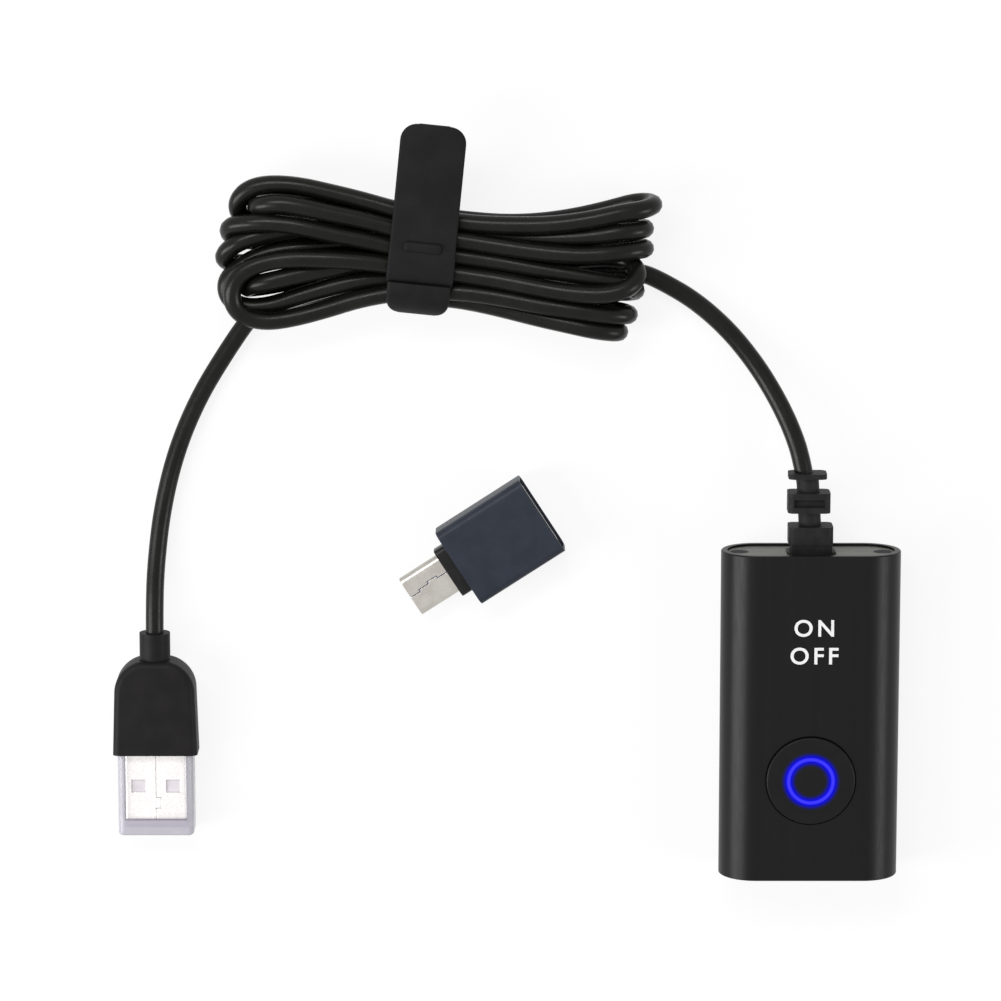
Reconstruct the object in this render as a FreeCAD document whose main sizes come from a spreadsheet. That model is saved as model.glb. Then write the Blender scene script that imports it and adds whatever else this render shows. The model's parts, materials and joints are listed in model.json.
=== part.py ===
"""A pocket mouse jiggler: an extruded aluminium case with one lit push button, a USB lead folded
into a hank under a strap, a cap on the plug, and a loose C-to-A adapter.

Millimetres. The case lies on its back at the origin: X across, Y along towards the lead, Z up
through the button face. Every size stands once in the sheet "sizes".
"""
import FreeCAD, Part
import math
import operator
import os

import Sketcher
from FreeCAD import Placement, Rotation, Vector

doc = FreeCAD.newDocument("jiggler")

# ---------------------------------------------------------------- driving dimensions

DIMENSIONS = {
    # case
    "case_length": 63.6, "case_width": 34.4, "case_depth": 14.0, "case_wall": 1.2,
    "rim_chamfer": 0.2, "plate_inset": 0.4, "plate_thickness": 1.5, "plate_gap": 0.1,
    "rail_thickness": 0.7, "rail_grip": 1.2,
    "screw_inset": 3.5, "screw_radius": 1.0, "screw_length": 7.0, "screw_gap": 0.05,
    "screw_head_radius": 1.75, "screw_head_height": 0.9, "drive_width": 0.5,
    "boss_radius": 1.9, "web_thickness": 1.2,
    # board and what stands on it
    "board_level": 3.2, "board_thickness": 1.2, "board_gap": 0.1, "board_corner": 1.0,
    "board_blind_gap": 0.9, "board_cable_gap": 10.9,
    "chip_side": 5.0, "chip_height": 1.0, "chip_setback": 12.0, "lead_width": 0.35, "lead_pitch": 0.8,
    "lead_reach": 0.9, "lead_height": 0.3, "lead_tuck": 0.2,
    "crystal_length": 6.5, "crystal_width": 3.6, "crystal_height": 1.6,
    "small_chip_length": 1.6, "small_chip_width": 0.8, "small_chip_height": 0.6,
    "small_chip_pitch": 2.6, "small_row_pitch": 3.0,
    "end_cap_length": 0.35, "end_cap_proud": 0.04,
    "led_side": 1.4, "led_height": 0.8,
    "switch_side": 4.5, "switch_height": 2.0, "switch_corner": 0.4,
    "plunger_radius": 1.1, "plunger_proud": 1.0, "plunger_depth": 1.0, "plunger_gap": 0.08,
    "pad_width": 1.4, "pad_length": 2.4, "pad_height": 0.1, "pad_pitch": 2.2, "pad_setback": 4.0,
    "wire_diameter": 1.0, "wire_spread": 0.62, "wire_straight": 2.5, "wire_landing": 3.0,
    # button
    "button_setback": 19.9, "button_radius": 8.5, "button_gap": 0.2, "button_proud": 0.6,
    "button_travel": 0.4, "button_edge": 0.35,
    "flange_overlap": 0.6, "flange_thickness": 0.8, "flange_gap": 0.08,
    "ring_radius": 4.25, "ring_width": 0.8, "ring_foot": 0.5, "ring_gap": 0.03,
    "ring_lift": 2.0, "stem_radius": 1.2,
    # strain relief and lead
    "cord_diameter": 3.5, "jacket_gap": 0.03,
    "boot_gap": 0.08, "boot_flange_width": 10.6, "boot_flange_depth": 8.6,
    "boot_flange_thickness": 1.4, "boot_standoff": 1.4, "boot_collar_width": 7.8, "boot_collar_depth": 6.0,
    "boot_root_width": 8.5, "boot_root_depth": 6.4, "boot_root_length": 3.4,
    "boot_middle_width": 8.1, "boot_middle_depth": 6.0, "boot_middle_length": 3.8,
    "boot_tip_width": 7.3, "boot_tip_depth": 5.4, "boot_tip_length": 1.0,
    "boot_notch": 2.7, "boot_core_radius": 2.15, "boot_lean": 0.9, "boot_corner": 0.5,
    "boot_block_corner": 1.2,
    "boot_window_width": 5.8, "boot_window_height": 1.5, "boot_window_depth": 0.9,
    # USB-A plug
    "plug_x": -125.9, "plug_face_y": -8.5, "plug_axis": 4.1,
    "grip_length": 18.3, "grip_straight": 12.1, "grip_width": 16.3, "grip_depth": 8.2,
    "grip_taper": 0.4, "grip_neck": 5.9, "grip_round": 1.3,
    "collar_length": 5.2, "collar_radius": 2.95,
    "shell_width": 12.0, "shell_depth": 4.5, "shell_length": 12.9, "shell_wall": 0.3, "shell_corner": 0.55,
    "shell_socket": 6.0, "window_width": 2.8, "window_length": 2.5, "window_offset": 3.35,
    "window_y": 6.4, "seam_width": 0.12, "seam_lock_y": 8.7, "seam_lock_length": 2.1,
    "seam_lock_reach": 0.95,
    "tongue_width": 11.1, "tongue_depth": 1.95, "tongue_gap": 0.08, "tongue_back": 3.0,
    "contact_width": 1.2, "contact_pitch": 2.3, "contact_length": 8.0, "contact_height": 0.12,
    "contact_setback": 1.5,
    "cap_width": 14.6, "cap_depth": 7.0, "cap_length": 16.0, "cap_gap": 0.15,
    "cap_end": 1.4, "cap_round": 1.2, "cap_end_round": 0.7,
    # adapter
    "adapter_x": -59.4, "adapter_y": 33.2, "adapter_heading": 33.0,
    "sleeve_length": 19.0, "sleeve_width": 16.4, "sleeve_depth": 8.0, "sleeve_wall": 0.5,
    "sleeve_round": 1.6, "nose_inset": 1.4, "nose_thickness": 2.2, "nose_gap": 0.05,
    "nose_step_width": 10.4, "nose_step_depth": 4.4, "nose_step_length": 3.8,
    "c_width": 8.3, "c_depth": 2.5, "c_length": 8.6, "c_wall": 0.28,
    "c_seam_step": 0.9, "c_slot_width": 6.7, "c_slot_depth": 0.75, "c_lip": 0.25, "c_contact_short": 1.5,
    "c_contact_pitch": 0.5, "c_contact_width": 0.25, "c_contact_height": 0.08,
    "adapter_board_thickness": 0.8,
    "socket_width": 13.1, "socket_depth": 5.7, "socket_wall": 0.3, "socket_length": 12.8,
    "socket_mouth": 0.5, "socket_corner": 0.7,
    "a_tongue_width": 9.8, "a_tongue_thickness": 1.6, "a_tongue_length": 8.6, "a_tongue_shift": 0.9,
    "a_tongue_back": 1.0,
    # hank and strap
    "hank_y": 89.2, "waist_height": 19.4, "waist_depth": 9.7, "waist_length": 15.0,
    "strap_x": -74.1, "strap_width": 12.4, "strap_thickness": 1.2, "strap_gap": 0.3,
    "strap_slack": 0.6, "strap_slant": -5.8, "strap_end_y": 113.8, "strap_corner": 3.0,
    "tail_start": 6.0, "nub_length": 7.1, "nub_width": 1.8, "nub_height": 0.5, "nub_reach": 1.5,
}

sheet = doc.addObject("Spreadsheet::Sheet", "sizes")
for row, (alias, number) in enumerate(DIMENSIONS.items(), 1):
    sheet.set(f"A{row}", alias)
    sheet.set(f"B{row}", str(number))
    sheet.setAlias(f"B{row}", alias)
doc.recompute()


class Size:
    """A length that knows both its number and the formula that ties it to the sheet."""

    def __init__(self, number, formula):
        self.number = number
        self.formula = formula

    def __add__(self, other):
        return joined(self, "+", other)

    def __radd__(self, other):
        return joined(other, "+", self)

    def __sub__(self, other):
        return joined(self, "-", other)

    def __rsub__(self, other):
        return joined(other, "-", self)

    def __mul__(self, other):
        return joined(self, "*", other)

    def __rmul__(self, other):
        return joined(other, "*", self)

    def __truediv__(self, other):
        return joined(self, "/", other)

    def __neg__(self):
        return joined(0, "-", self)

    def __float__(self):
        return float(self.number)


OPERATIONS = {"+": operator.add, "-": operator.sub, "*": operator.mul, "/": operator.truediv}


def formula_of(size):
    return size.formula if isinstance(size, Size) else f"({float(size)})"


def joined(left, sign, right):
    number = OPERATIONS[sign](float(left), float(right))
    return Size(number, f"({formula_of(left)} {sign} {formula_of(right)})")


def root(size):
    return Size(math.sqrt(float(size)), f"sqrt({formula_of(size)})")


class Sizes:
    """Every alias of the sheet as an attribute."""

    def __getattr__(self, alias):
        return Size(float(getattr(sheet, alias)), f"sizes.{alias}")


s = Sizes()

# ---------------------------------------------------------------- drawing helpers


def bind(thing, prop, size):
    """Set a property by formula, or plainly where the size is a bare number."""
    if isinstance(size, Size):
        thing.setExpression(prop, size.formula)
    elif "." not in prop and "[" not in prop:
        setattr(thing, prop, float(size))


def vector(x, y, z=0.0):
    return Vector(float(x), float(y), float(z))


def place(thing, x, y, z):
    """Place an object by formulas."""
    thing.Placement = Placement(vector(x, y, z), thing.Placement.Rotation)
    for axis, size in zip("xyz", (x, y, z)):
        bind(thing, f"Placement.Base.{axis}", size)
    return thing


def sketch_on(body, role, name, lift=0.0):
    """A sketch on one of the body's own origin planes, lifted along the plane's normal."""
    sketch = body.newObject("Sketcher::SketchObject", name)
    plane = [item for item in body.Origin.OriginFeatures if item.Role == role][0]
    sketch.AttachmentSupport = [(plane, "")]
    sketch.MapMode = "FlatFace"
    sketch.AttachmentOffset = Placement(Vector(0, 0, float(lift)), Rotation())
    bind(sketch, "AttachmentOffset.Base.z", lift)
    return sketch


def pin(sketch, piece, end, x, y):
    """Hold one end (1 start, 2 end, 3 centre) of a sketch element at x, y."""
    for kind, size in (("DistanceX", x), ("DistanceY", y)):
        rule = Sketcher.Constraint(kind, -1, 1, piece, end, float(size))
        bind(sketch, f"Constraints[{sketch.addConstraint(rule)}]", size)


def circle(sketch, x, y, radius):
    ring = sketch.addGeometry(Part.Circle(vector(x, y), Vector(0, 0, 1), float(radius)))
    pin(sketch, ring, 3, x, y)
    rule = Sketcher.Constraint("Radius", ring, float(radius))
    bind(sketch, f"Constraints[{sketch.addConstraint(rule)}]", radius)


def outline(sketch, corners):
    """A closed outline. A corner (x, y) is reached by a line and (x, y, cx, cy) by an
    anticlockwise arc about (cx, cy)."""
    pieces = []
    for before, corner in zip(corners[-1:] + corners[:-1], corners):
        start = vector(*before[:2])
        end = vector(*corner[:2])
        if len(corner) == 2:
            pieces.append(sketch.addGeometry(Part.LineSegment(start, end)))
            continue
        centre = vector(*corner[2:])
        angles = [math.atan2(point.y - centre.y, point.x - centre.x) for point in (start, end)]
        round_part = Part.Circle(centre, Vector(0, 0, 1), (start - centre).Length)
        arc = sketch.addGeometry(Part.ArcOfCircle(round_part, *angles))
        pieces.append(arc)
        upright = abs(end.x - start.x) < abs(end.y - start.y)
        kind, size = ("DistanceX", corner[2]) if upright else ("DistanceY", corner[3])
        rule = Sketcher.Constraint(kind, -1, 1, arc, 3, float(size))
        bind(sketch, f"Constraints[{sketch.addConstraint(rule)}]", size)
    for piece, following, corner in zip(pieces, pieces[1:] + pieces[:1], corners):
        pin(sketch, piece, 2, *corner[:2])
        sketch.addConstraint(Sketcher.Constraint("Coincident", piece, 2, following, 1))


def rectangle(sketch, x, y, width, height):
    """A rectangle about its centre."""
    outline(sketch, [(x - width / 2, y - height / 2), (x + width / 2, y - height / 2),
                     (x + width / 2, y + height / 2), (x - width / 2, y + height / 2)])


def rounded(sketch, x, y, width, height, radius):
    """A rectangle about its centre with rounded corners."""
    left, right = x - width / 2, x + width / 2
    low, high = y - height / 2, y + height / 2
    outline(sketch, [(right - radius, low),
                     (right, low + radius, right - radius, low + radius),
                     (right, high - radius),
                     (right - radius, high, right - radius, high - radius),
                     (left + radius, high),
                     (left, high - radius, left + radius, high - radius),
                     (left, low + radius),
                     (left + radius, low, left + radius, low + radius)])


def stadium(sketch, x, y, width, height):
    """Two straight sides joined by half circles at the left and right."""
    flat = width / 2 - height / 2
    outline(sketch, [(x + flat, y - height / 2), (x + flat, y + height / 2, x + flat, y),
                     (x - flat, y + height / 2), (x - flat, y - height / 2, x - flat, y)])


def ribbon(sketch, path, width):
    """A narrow closed strip along a path that turns at right angles."""
    steps = [(after[0] - before[0], after[1] - before[1]) for before, after in zip(path, path[1:])]
    sides = [(-sign_of(along_y), sign_of(along_x)) for along_x, along_y in steps]
    shifts = [sides[0]] + [(a[0] + b[0], a[1] + b[1]) for a, b in zip(sides, sides[1:])] + [sides[-1]]
    left = [(x + dx * width / 2, y + dy * width / 2) for (x, y), (dx, dy) in zip(path, shifts)]
    right = [(x - dx * width / 2, y - dy * width / 2) for (x, y), (dx, dy) in zip(path, shifts)]
    outline(sketch, left + right[::-1])


def sign_of(size):
    return 0 if abs(float(size)) < 1e-9 else math.copysign(1, float(size))


def feature(body, kind, sketch, length, back=False, both=False):
    """A Pad or Pocket of a sketch; back turns it round and both spreads it to the two sides."""
    step = body.newObject(f"PartDesign::{kind}", f"{sketch.Name}_{kind}")
    step.Profile = sketch
    step.Length = float(length)
    bind(step, "Length", length)
    step.Reversed = back
    step.SideType = "Symmetric" if both else "One side"
    sketch.Visibility = False
    return step


def dressed(body, kind, name, choose):
    """A Fillet or Chamfer on the edges that choose picks from the body's shape so far."""
    doc.recompute()
    base = body.Tip
    step = body.newObject(f"PartDesign::{kind}", name)
    step.Base = (base, choose(base.Shape))
    return step


def body_named(name):
    return doc.addObject("PartDesign::Body", name)


def box(name, x, y, z, width, length, height):
    """A Part box about (x, y) that stands on z."""
    block = doc.addObject("Part::Box", name)
    for prop, size in (("Length", width), ("Width", length), ("Height", height)):
        bind(block, prop, size)
    return place(block, x - width / 2, y - length / 2, z)


def cylinder(name, x, y, z, radius, height):
    rod = doc.addObject("Part::Cylinder", name)
    bind(rod, "Radius", radius)
    bind(rod, "Height", height)
    return place(rod, x, y, z)


def fused(name, pieces):
    result = doc.addObject("Part::MultiFuse", name)
    result.Shapes = pieces
    return result


def group(name, pieces):
    """Separate solids that share one node."""
    result = doc.addObject("Part::Compound", name)
    result.Links = pieces
    return result


# ---------------------------------------------------------------- levels that pieces share

case_middle = s.case_depth / 2
case_end = s.case_length / 2
inner_radius = case_middle - s.case_wall
flat_half = s.case_width / 2 - case_middle
plate_outer = case_end - s.plate_inset
plate_inner = plate_outer - s.plate_thickness
screw_offset = s.case_width / 2 - s.screw_inset
button_y = -(case_end - s.button_setback)


def wall_at(level):
    """How far from the middle the tube's inner wall stands at a height in its lower half."""
    fall = case_middle - level
    return flat_half + root(inner_radius * inner_radius - fall * fall)


board_top = s.board_level + s.board_thickness
board_half = wall_at(s.board_level) - s.board_gap
board_cable_end = plate_inner - s.board_cable_gap
board_blind_end = -(plate_inner - s.board_blind_gap)
chip_y = board_cable_end - s.chip_setback
pad_y = board_cable_end - s.pad_setback
beside_chip = (s.chip_side / 2 + s.lead_reach + screw_offset - s.boss_radius) / 2
wall_underside = s.case_depth - s.case_wall
button_top = s.case_depth + s.button_proud
flange_top = wall_underside - s.flange_gap
ring_outer = s.ring_radius + s.ring_width / 2
ring_inner = s.ring_radius - s.ring_width / 2
switch_top = board_top + s.switch_height
plunger_top = switch_top + s.plunger_proud
hank_level = s.waist_depth / 2 + s.strap_gap + s.strap_thickness
boot_tip_y = (case_end + s.boot_standoff + s.boot_root_length + s.boot_middle_length + s.boot_tip_length
              + 2 * s.boot_notch)

# ---------------------------------------------------------------- case


def make_housing_tube():
    """Extruded tube with board rails and screw bosses, and the button's hole in its face."""
    body = body_named("housing_tube")
    section = sketch_on(body, "XZ_Plane", "tube_section")
    stadium(section, 0.0, case_middle, s.case_width, s.case_depth)
    stadium(section, 0.0, case_middle, s.case_width - 2 * s.case_wall, s.case_depth - 2 * s.case_wall)
    feature(body, "Pad", section, s.case_length, both=True)

    rails = sketch_on(body, "XZ_Plane", "rail_section")
    for low in (s.board_level - s.rail_thickness, board_top + s.board_gap):
        start = board_half - s.rail_grip
        reach = wall_at(low + s.rail_thickness) + s.case_wall / 4 - start
        for side in (1, -1):
            rectangle(rails, side * (start + reach / 2), low + s.rail_thickness / 2, reach,
                      s.rail_thickness)
    feature(body, "Pad", rails, 2 * plate_inner, both=True)

    bosses = sketch_on(body, "XZ_Plane", "boss_section")
    for side in (1, -1):
        circle(bosses, side * screw_offset, case_middle, s.boss_radius)
    feature(body, "Pad", bosses, 2 * plate_inner, both=True)

    webs = sketch_on(body, "XZ_Plane", "web_section")
    web_end = s.case_width / 2 - s.case_wall / 2
    for side in (1, -1):
        rectangle(webs, side * (screw_offset + web_end) / 2, case_middle, web_end - screw_offset,
                  s.web_thickness)
    feature(body, "Pad", webs, 2 * plate_inner, both=True)

    posts = sketch_on(body, "XZ_Plane", "post_section")
    rail_top = board_top + s.board_gap + s.rail_thickness
    for side in (1, -1):
        rectangle(posts, side * screw_offset, (rail_top + case_middle) / 2, s.web_thickness,
                  case_middle - rail_top)
    feature(body, "Pad", posts, 2 * plate_inner, both=True)

    bores = sketch_on(body, "XZ_Plane", "bore_section")
    for side in (1, -1):
        circle(bores, side * screw_offset, case_middle, s.screw_radius + s.screw_gap)
    feature(body, "Pocket", bores, s.case_length, both=True)

    opening = sketch_on(body, "XY_Plane", "button_opening", s.case_depth)
    circle(opening, 0.0, button_y, s.button_radius + s.button_gap)
    feature(body, "Pocket", opening, 1.5 * s.case_wall)
    rim = dressed(body, "Chamfer", "rim", outer_rim_edges)
    bind(rim, "Size", s.rim_chamfer)
    return body


def outer_rim_edges(shape):
    """The outer edges of the tube's two end faces."""
    names = []
    for number, edge in enumerate(shape.Edges, 1):
        bounds = edge.BoundBox
        at_end = abs(abs(bounds.Center.y) - float(case_end)) < 0.01 and bounds.YLength < 0.01
        wide = bounds.ZMax > float(s.case_depth) - 0.01 or bounds.ZMin < 0.01
        if at_end and wide:
            names.append(f"Edge{number}")
    return names


def make_end_plate(name, side, with_window):
    """A plate that sits inside the tube's rim; side is 1 at the lead and -1 at the blind end."""
    body = body_named(name)
    section = sketch_on(body, "XZ_Plane", f"{name}_section", -side * plate_inner)
    slack = 2 * (s.case_wall + s.plate_gap)
    stadium(section, 0.0, case_middle, s.case_width - slack, s.case_depth - slack)
    for edge in (1, -1):
        circle(section, edge * screw_offset, case_middle, s.screw_radius + s.screw_gap)
    if with_window:
        rounded(section, 0.0, case_middle, s.boot_collar_width + 2 * s.boot_gap,
                s.boot_collar_depth + 2 * s.boot_gap, s.boot_corner)
    feature(body, "Pad", section, s.plate_thickness, back=side > 0)
    sinks = dressed(body, "Chamfer", f"{name}_sinks", lambda shape: screw_mouths(shape, side))
    sinks.ChamferType = "Two distances"
    depth = s.screw_head_height + s.screw_gap
    width = s.screw_head_radius - s.screw_radius
    bind(sinks, "Size", depth)
    bind(sinks, "Size2", width)
    return body


def screw_mouths(shape, side):
    """The outer edges of an end plate's two screw holes."""
    names = []
    for number, edge in enumerate(shape.Edges, 1):
        bounds = edge.BoundBox
        round_edge = abs(bounds.XLength - bounds.ZLength) < 0.01 and edge.Length < 8
        if round_edge and abs(bounds.Center.y - side * float(plate_outer)) < 0.01:
            names.append(f"Edge{number}")
    return names


def make_screws(name, side):
    """Two countersunk screws, each revolved about its own axis, with a crossed drive."""
    screws = []
    for number, edge in enumerate((1, -1), 1):
        body = body_named(f"{name}_{number}")
        axis_x = edge * screw_offset
        profile = sketch_on(body, "XY_Plane", f"{name}_{number}_profile", case_middle)
        top = side * plate_outer
        shoulder = side * (plate_outer - s.screw_head_height)
        tip = side * (plate_outer - s.screw_length)
        outline(profile, [(axis_x, top), (axis_x + s.screw_head_radius, top),
                          (axis_x + s.screw_radius, shoulder), (axis_x + s.screw_radius, tip),
                          (axis_x, tip)])
        turned = body.newObject("PartDesign::Revolution", f"{name}_{number}_turned")
        turned.Profile = profile
        turned.ReferenceAxis = (profile, ["Edge1"])
        turned.Angle = 360.0
        drive = sketch_on(body, "XZ_Plane", f"{name}_{number}_drive", -side * plate_outer)
        arm = 1.2 * s.screw_radius
        half = s.drive_width / 2
        cross = [(-half, -arm), (half, -arm), (half, -half), (arm, -half), (arm, half), (half, half),
                 (half, arm), (-half, arm), (-half, half), (-arm, half), (-arm, -half), (-half, -half)]
        outline(drive, [(axis_x + x, case_middle + y) for x, y in cross])
        feature(body, "Pocket", drive, s.screw_head_height * 0.8, back=side < 0)
        screws.append(body)
    return group(name, screws)


# ---------------------------------------------------------------- electronics


def make_circuit_board():
    body = body_named("circuit_board")
    shape = sketch_on(body, "XY_Plane", "board_outline", s.board_level)
    rounded(shape, 0.0, (board_cable_end + board_blind_end) / 2, 2 * board_half,
            board_cable_end - board_blind_end, s.board_corner)
    feature(body, "Pad", shape, s.board_thickness)
    return body


def make_microcontroller():
    """A flat pack with eight leads on each side."""
    pieces = [box("chip_case", 0.0, chip_y, board_top + s.lead_height / 2, s.chip_side,
                  8 * s.lead_pitch, s.chip_height)]
    for side in (1, -1):
        for number in range(8):
            y = chip_y + (number - 3.5) * s.lead_pitch
            x = side * (s.chip_side / 2 + s.lead_reach / 2 - s.lead_tuck / 2)
            pieces.append(box(f"lead_{number}_{side + 1}", x, y, board_top, s.lead_reach + s.lead_tuck,
                              s.lead_width, s.lead_height))
    return fused("microcontroller", pieces)


def make_crystal():
    """An oval can."""
    body = body_named("crystal")
    can = sketch_on(body, "XY_Plane", "can_outline", board_top)
    stadium(can, beside_chip, chip_y, s.crystal_length, s.crystal_width)
    feature(body, "Pad", can, s.crystal_height)
    return body


def chip_row(name, x, count, height):
    """Small two-ended chips in a row along Y beside the microcontroller, each with its end caps."""
    chips = []
    for number in range(count):
        place_y = chip_y + (number - (count - 1) / 2) * s.small_chip_pitch
        middle = box(f"{name}_{number}", x, place_y, board_top, s.small_chip_length,
                     s.small_chip_width, height)
        ends = []
        for side in (1, -1):
            end_x = x + side * (s.small_chip_length / 2)
            ends.append(box(f"{name}_{number}_end_{side + 1}", end_x, place_y, board_top,
                            s.end_cap_length, s.small_chip_width + 2 * s.end_cap_proud,
                            height + s.end_cap_proud))
        chips.append(fused(f"{name}_{number}_whole", [middle] + ends))
    return group(name, chips)


def make_led_chips():
    """Four chips under the light ring."""
    chips = []
    reach = s.ring_radius * math.sqrt(0.5)
    for number, (x, y) in enumerate(((1, 1), (-1, 1), (-1, -1), (1, -1))):
        chips.append(box(f"led_{number}", x * reach, button_y + y * reach, board_top,
                         s.led_side, s.led_side, s.led_height))
    return group("led_chips", chips)


def make_switch_base():
    """Square switch case with a round well for the plunger."""
    body = body_named("switch_base")
    case = sketch_on(body, "XY_Plane", "switch_outline", board_top)
    rounded(case, 0.0, button_y, s.switch_side, s.switch_side, s.switch_corner)
    feature(body, "Pad", case, s.switch_height)
    well = sketch_on(body, "XY_Plane", "switch_well", switch_top)
    circle(well, 0.0, button_y, s.plunger_radius + s.plunger_gap)
    feature(body, "Pocket", well, s.plunger_depth + s.button_travel + s.plunger_gap)
    return body


def make_switch_plunger():
    return cylinder("switch_plunger", 0.0, button_y, switch_top - s.plunger_depth,
                    s.plunger_radius, s.plunger_depth + s.plunger_proud)


def pad_place(number):
    return (number - 1.5) * s.pad_pitch


def make_solder_pads():
    pads = [box(f"pad_{number}", pad_place(number), pad_y, board_top, s.pad_width, s.pad_length,
                s.pad_height) for number in range(4)]
    return group("solder_pads", pads)


# ---------------------------------------------------------------- button


def revolved(name, corners):
    """A body turned about the button's axis from (radius, height) corners."""
    body = body_named(name)
    profile = sketch_on(body, "XZ_Plane", f"{name}_profile", -button_y)
    outline(profile, corners)
    turned = body.newObject("PartDesign::Revolution", f"{name}_turned")
    turned.Profile = profile
    turned.ReferenceAxis = (profile, ["V_Axis"])
    turned.Angle = 360.0
    profile.Visibility = False
    return body


def make_button_cap():
    """Outer ring of the button, with the flange that the case wall holds down."""
    inner = ring_outer + s.ring_gap
    flange = s.button_radius + s.button_gap + s.flange_overlap
    foot = flange_top - s.flange_thickness
    return revolved("button_cap", [
        (inner, foot), (flange, foot), (flange, flange_top), (s.button_radius, flange_top),
        (s.button_radius, button_top - s.button_edge),
        (s.button_radius - s.button_edge, button_top,
         s.button_radius - s.button_edge, button_top - s.button_edge),
        (inner, button_top)])


def make_light_ring():
    """Clear tube that leads light from the board to the button's face."""
    low = board_top + s.ring_lift
    foot = flange_top - s.flange_thickness
    return revolved("light_ring", [
        (ring_inner, low), (ring_outer, low), (ring_outer, foot - s.ring_foot),
        (ring_outer + s.ring_foot, foot - s.ring_foot), (ring_outer + s.ring_foot, foot),
        (ring_outer, foot), (ring_outer, button_top), (ring_inner, button_top)])


def make_button_centre():
    """Middle disc and the stem that presses the switch."""
    edge = ring_inner - s.ring_gap
    low = flange_top - s.flange_thickness
    return revolved("button_centre", [
        (0.0, plunger_top), (s.stem_radius, plunger_top), (s.stem_radius, low), (edge, low),
        (edge, button_top), (0.0, button_top)])


# ---------------------------------------------------------------- strain relief


def lean_at(y):
    """How far the boot leans to -X at a height y outside the case."""
    return -(s.boot_lean * (y - case_end) / (boot_tip_y - case_end))


def make_strain_relief():
    """Segmented boot: a flange inside the plate, three blocks and the core that joins them."""
    body = body_named("strain_relief")
    flange = sketch_on(body, "XZ_Plane", "boot_flange", -(plate_inner - s.boot_flange_thickness))
    rounded(flange, 0.0, case_middle, s.boot_flange_width, s.boot_flange_depth, s.boot_corner)
    feature(body, "Pad", flange, s.boot_flange_thickness - s.boot_gap, back=True)

    collar = sketch_on(body, "XZ_Plane", "boot_collar", -(plate_inner - s.boot_flange_thickness))
    rounded(collar, 0.0, case_middle, s.boot_collar_width, s.boot_collar_depth, s.boot_corner)
    feature(body, "Pad", collar,
            case_end + s.boot_standoff - (plate_inner - s.boot_flange_thickness), back=True)

    start = case_end + s.boot_standoff
    for name, length, width, depth in (
            ("root", s.boot_root_length, s.boot_root_width, s.boot_root_depth),
            ("middle", s.boot_middle_length, s.boot_middle_width, s.boot_middle_depth),
            ("tip", s.boot_tip_length, s.boot_tip_width, s.boot_tip_depth)):
        block = sketch_on(body, "XZ_Plane", f"boot_{name}", -start)
        rounded(block, lean_at(start + length / 2), case_middle, width, depth, s.boot_block_corner)
        feature(body, "Pad", block, length, back=True)
        if name == "middle":
            window_y = start + length / 2
        start = start + length + s.boot_notch

    foot_y = case_end + s.boot_standoff + s.boot_root_length / 2
    foot = sketch_on(body, "XZ_Plane", "core_foot", -foot_y)
    circle(foot, lean_at(foot_y), case_middle, s.boot_core_radius)
    tip_y = boot_tip_y - s.boot_tip_length / 2
    tip = sketch_on(body, "XZ_Plane", "core_tip", -tip_y)
    circle(tip, lean_at(tip_y), case_middle, s.boot_core_radius)
    core = body.newObject("PartDesign::AdditiveLoft", "boot_core")
    core.Profile = foot
    core.Sections = [tip]

    for side, level in (("front", case_middle + s.boot_middle_depth / 2),
                        ("back", case_middle - s.boot_middle_depth / 2)):
        window = sketch_on(body, "XY_Plane", f"{side}_window", level)
        rectangle(window, lean_at(window_y), window_y, s.boot_window_width, s.boot_window_height)
        feature(body, "Pocket", window, s.boot_window_depth, back=side == "back")

    bore = sketch_on(body, "XZ_Plane", "boot_bore", -(plate_inner - s.boot_flange_thickness))
    circle(bore, 0.0, case_middle, s.cord_diameter / 2 + s.jacket_gap)
    feature(body, "Pocket", bore, s.plate_thickness + s.boot_flange_thickness)
    return body


# ---------------------------------------------------------------- lead


def tube_along(name, points, diameter):
    """A round tube along straight runs joined by tangent arcs, each arc as large as its runs
    allow. Prints its radii."""
    steps = [after - before for before, after in zip(points, points[1:])]
    edges = []
    start = points[0]
    radii = []
    for corner, before, after in zip(points[1:-1], steps, steps[1:]):
        turn = before.getAngle(after)
        reach = 0.45 * min(before.Length, after.Length)
        radii.append(reach / math.tan(turn / 2))
        inward = corner - Vector(before).normalize() * reach
        outward = corner + Vector(after).normalize() * reach
        bisector = (Vector(after).normalize() - Vector(before).normalize()).normalize()
        centre = corner + bisector * (radii[-1] / math.cos(turn / 2))
        middle = centre + (corner - centre).normalize() * radii[-1]
        edges.append(Part.LineSegment(start, inward).toShape())
        edges.append(Part.Arc(inward, middle, outward).toShape())
        start = outward
    edges.append(Part.LineSegment(start, points[-1]).toShape())
    spine = Part.Wire(edges)
    section = Part.Wire(Part.makeCircle(diameter / 2, points[0], steps[0]))
    solid = spine.makePipeShell([section], True, False)
    expected = math.pi * diameter ** 2 / 4 * spine.Length
    if abs(solid.Volume / expected - 1) > 0.01:
        raise ValueError(f"{name}: volume {solid.Volume:.1f}, expected {expected:.1f}")
    print(f"{name}: length {spine.Length:.1f}, radii", " ".join(f"{radius:.0f}" for radius in radii))
    result = doc.addObject("Part::Feature", name)
    result.Shape = solid
    return result


def make_cable_jacket_end():
    """The jacket that passes through the boot and ends inside the case."""
    start = plate_inner - s.boot_flange_thickness - s.cord_diameter
    rod = cylinder("cable_jacket_end", 0.0, start, case_middle, s.cord_diameter / 2,
                   s.plate_thickness + s.boot_flange_thickness + s.cord_diameter - s.boot_gap)
    rod.Placement.Rotation = Rotation(Vector(1, 0, 0), -90)
    return rod


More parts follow.
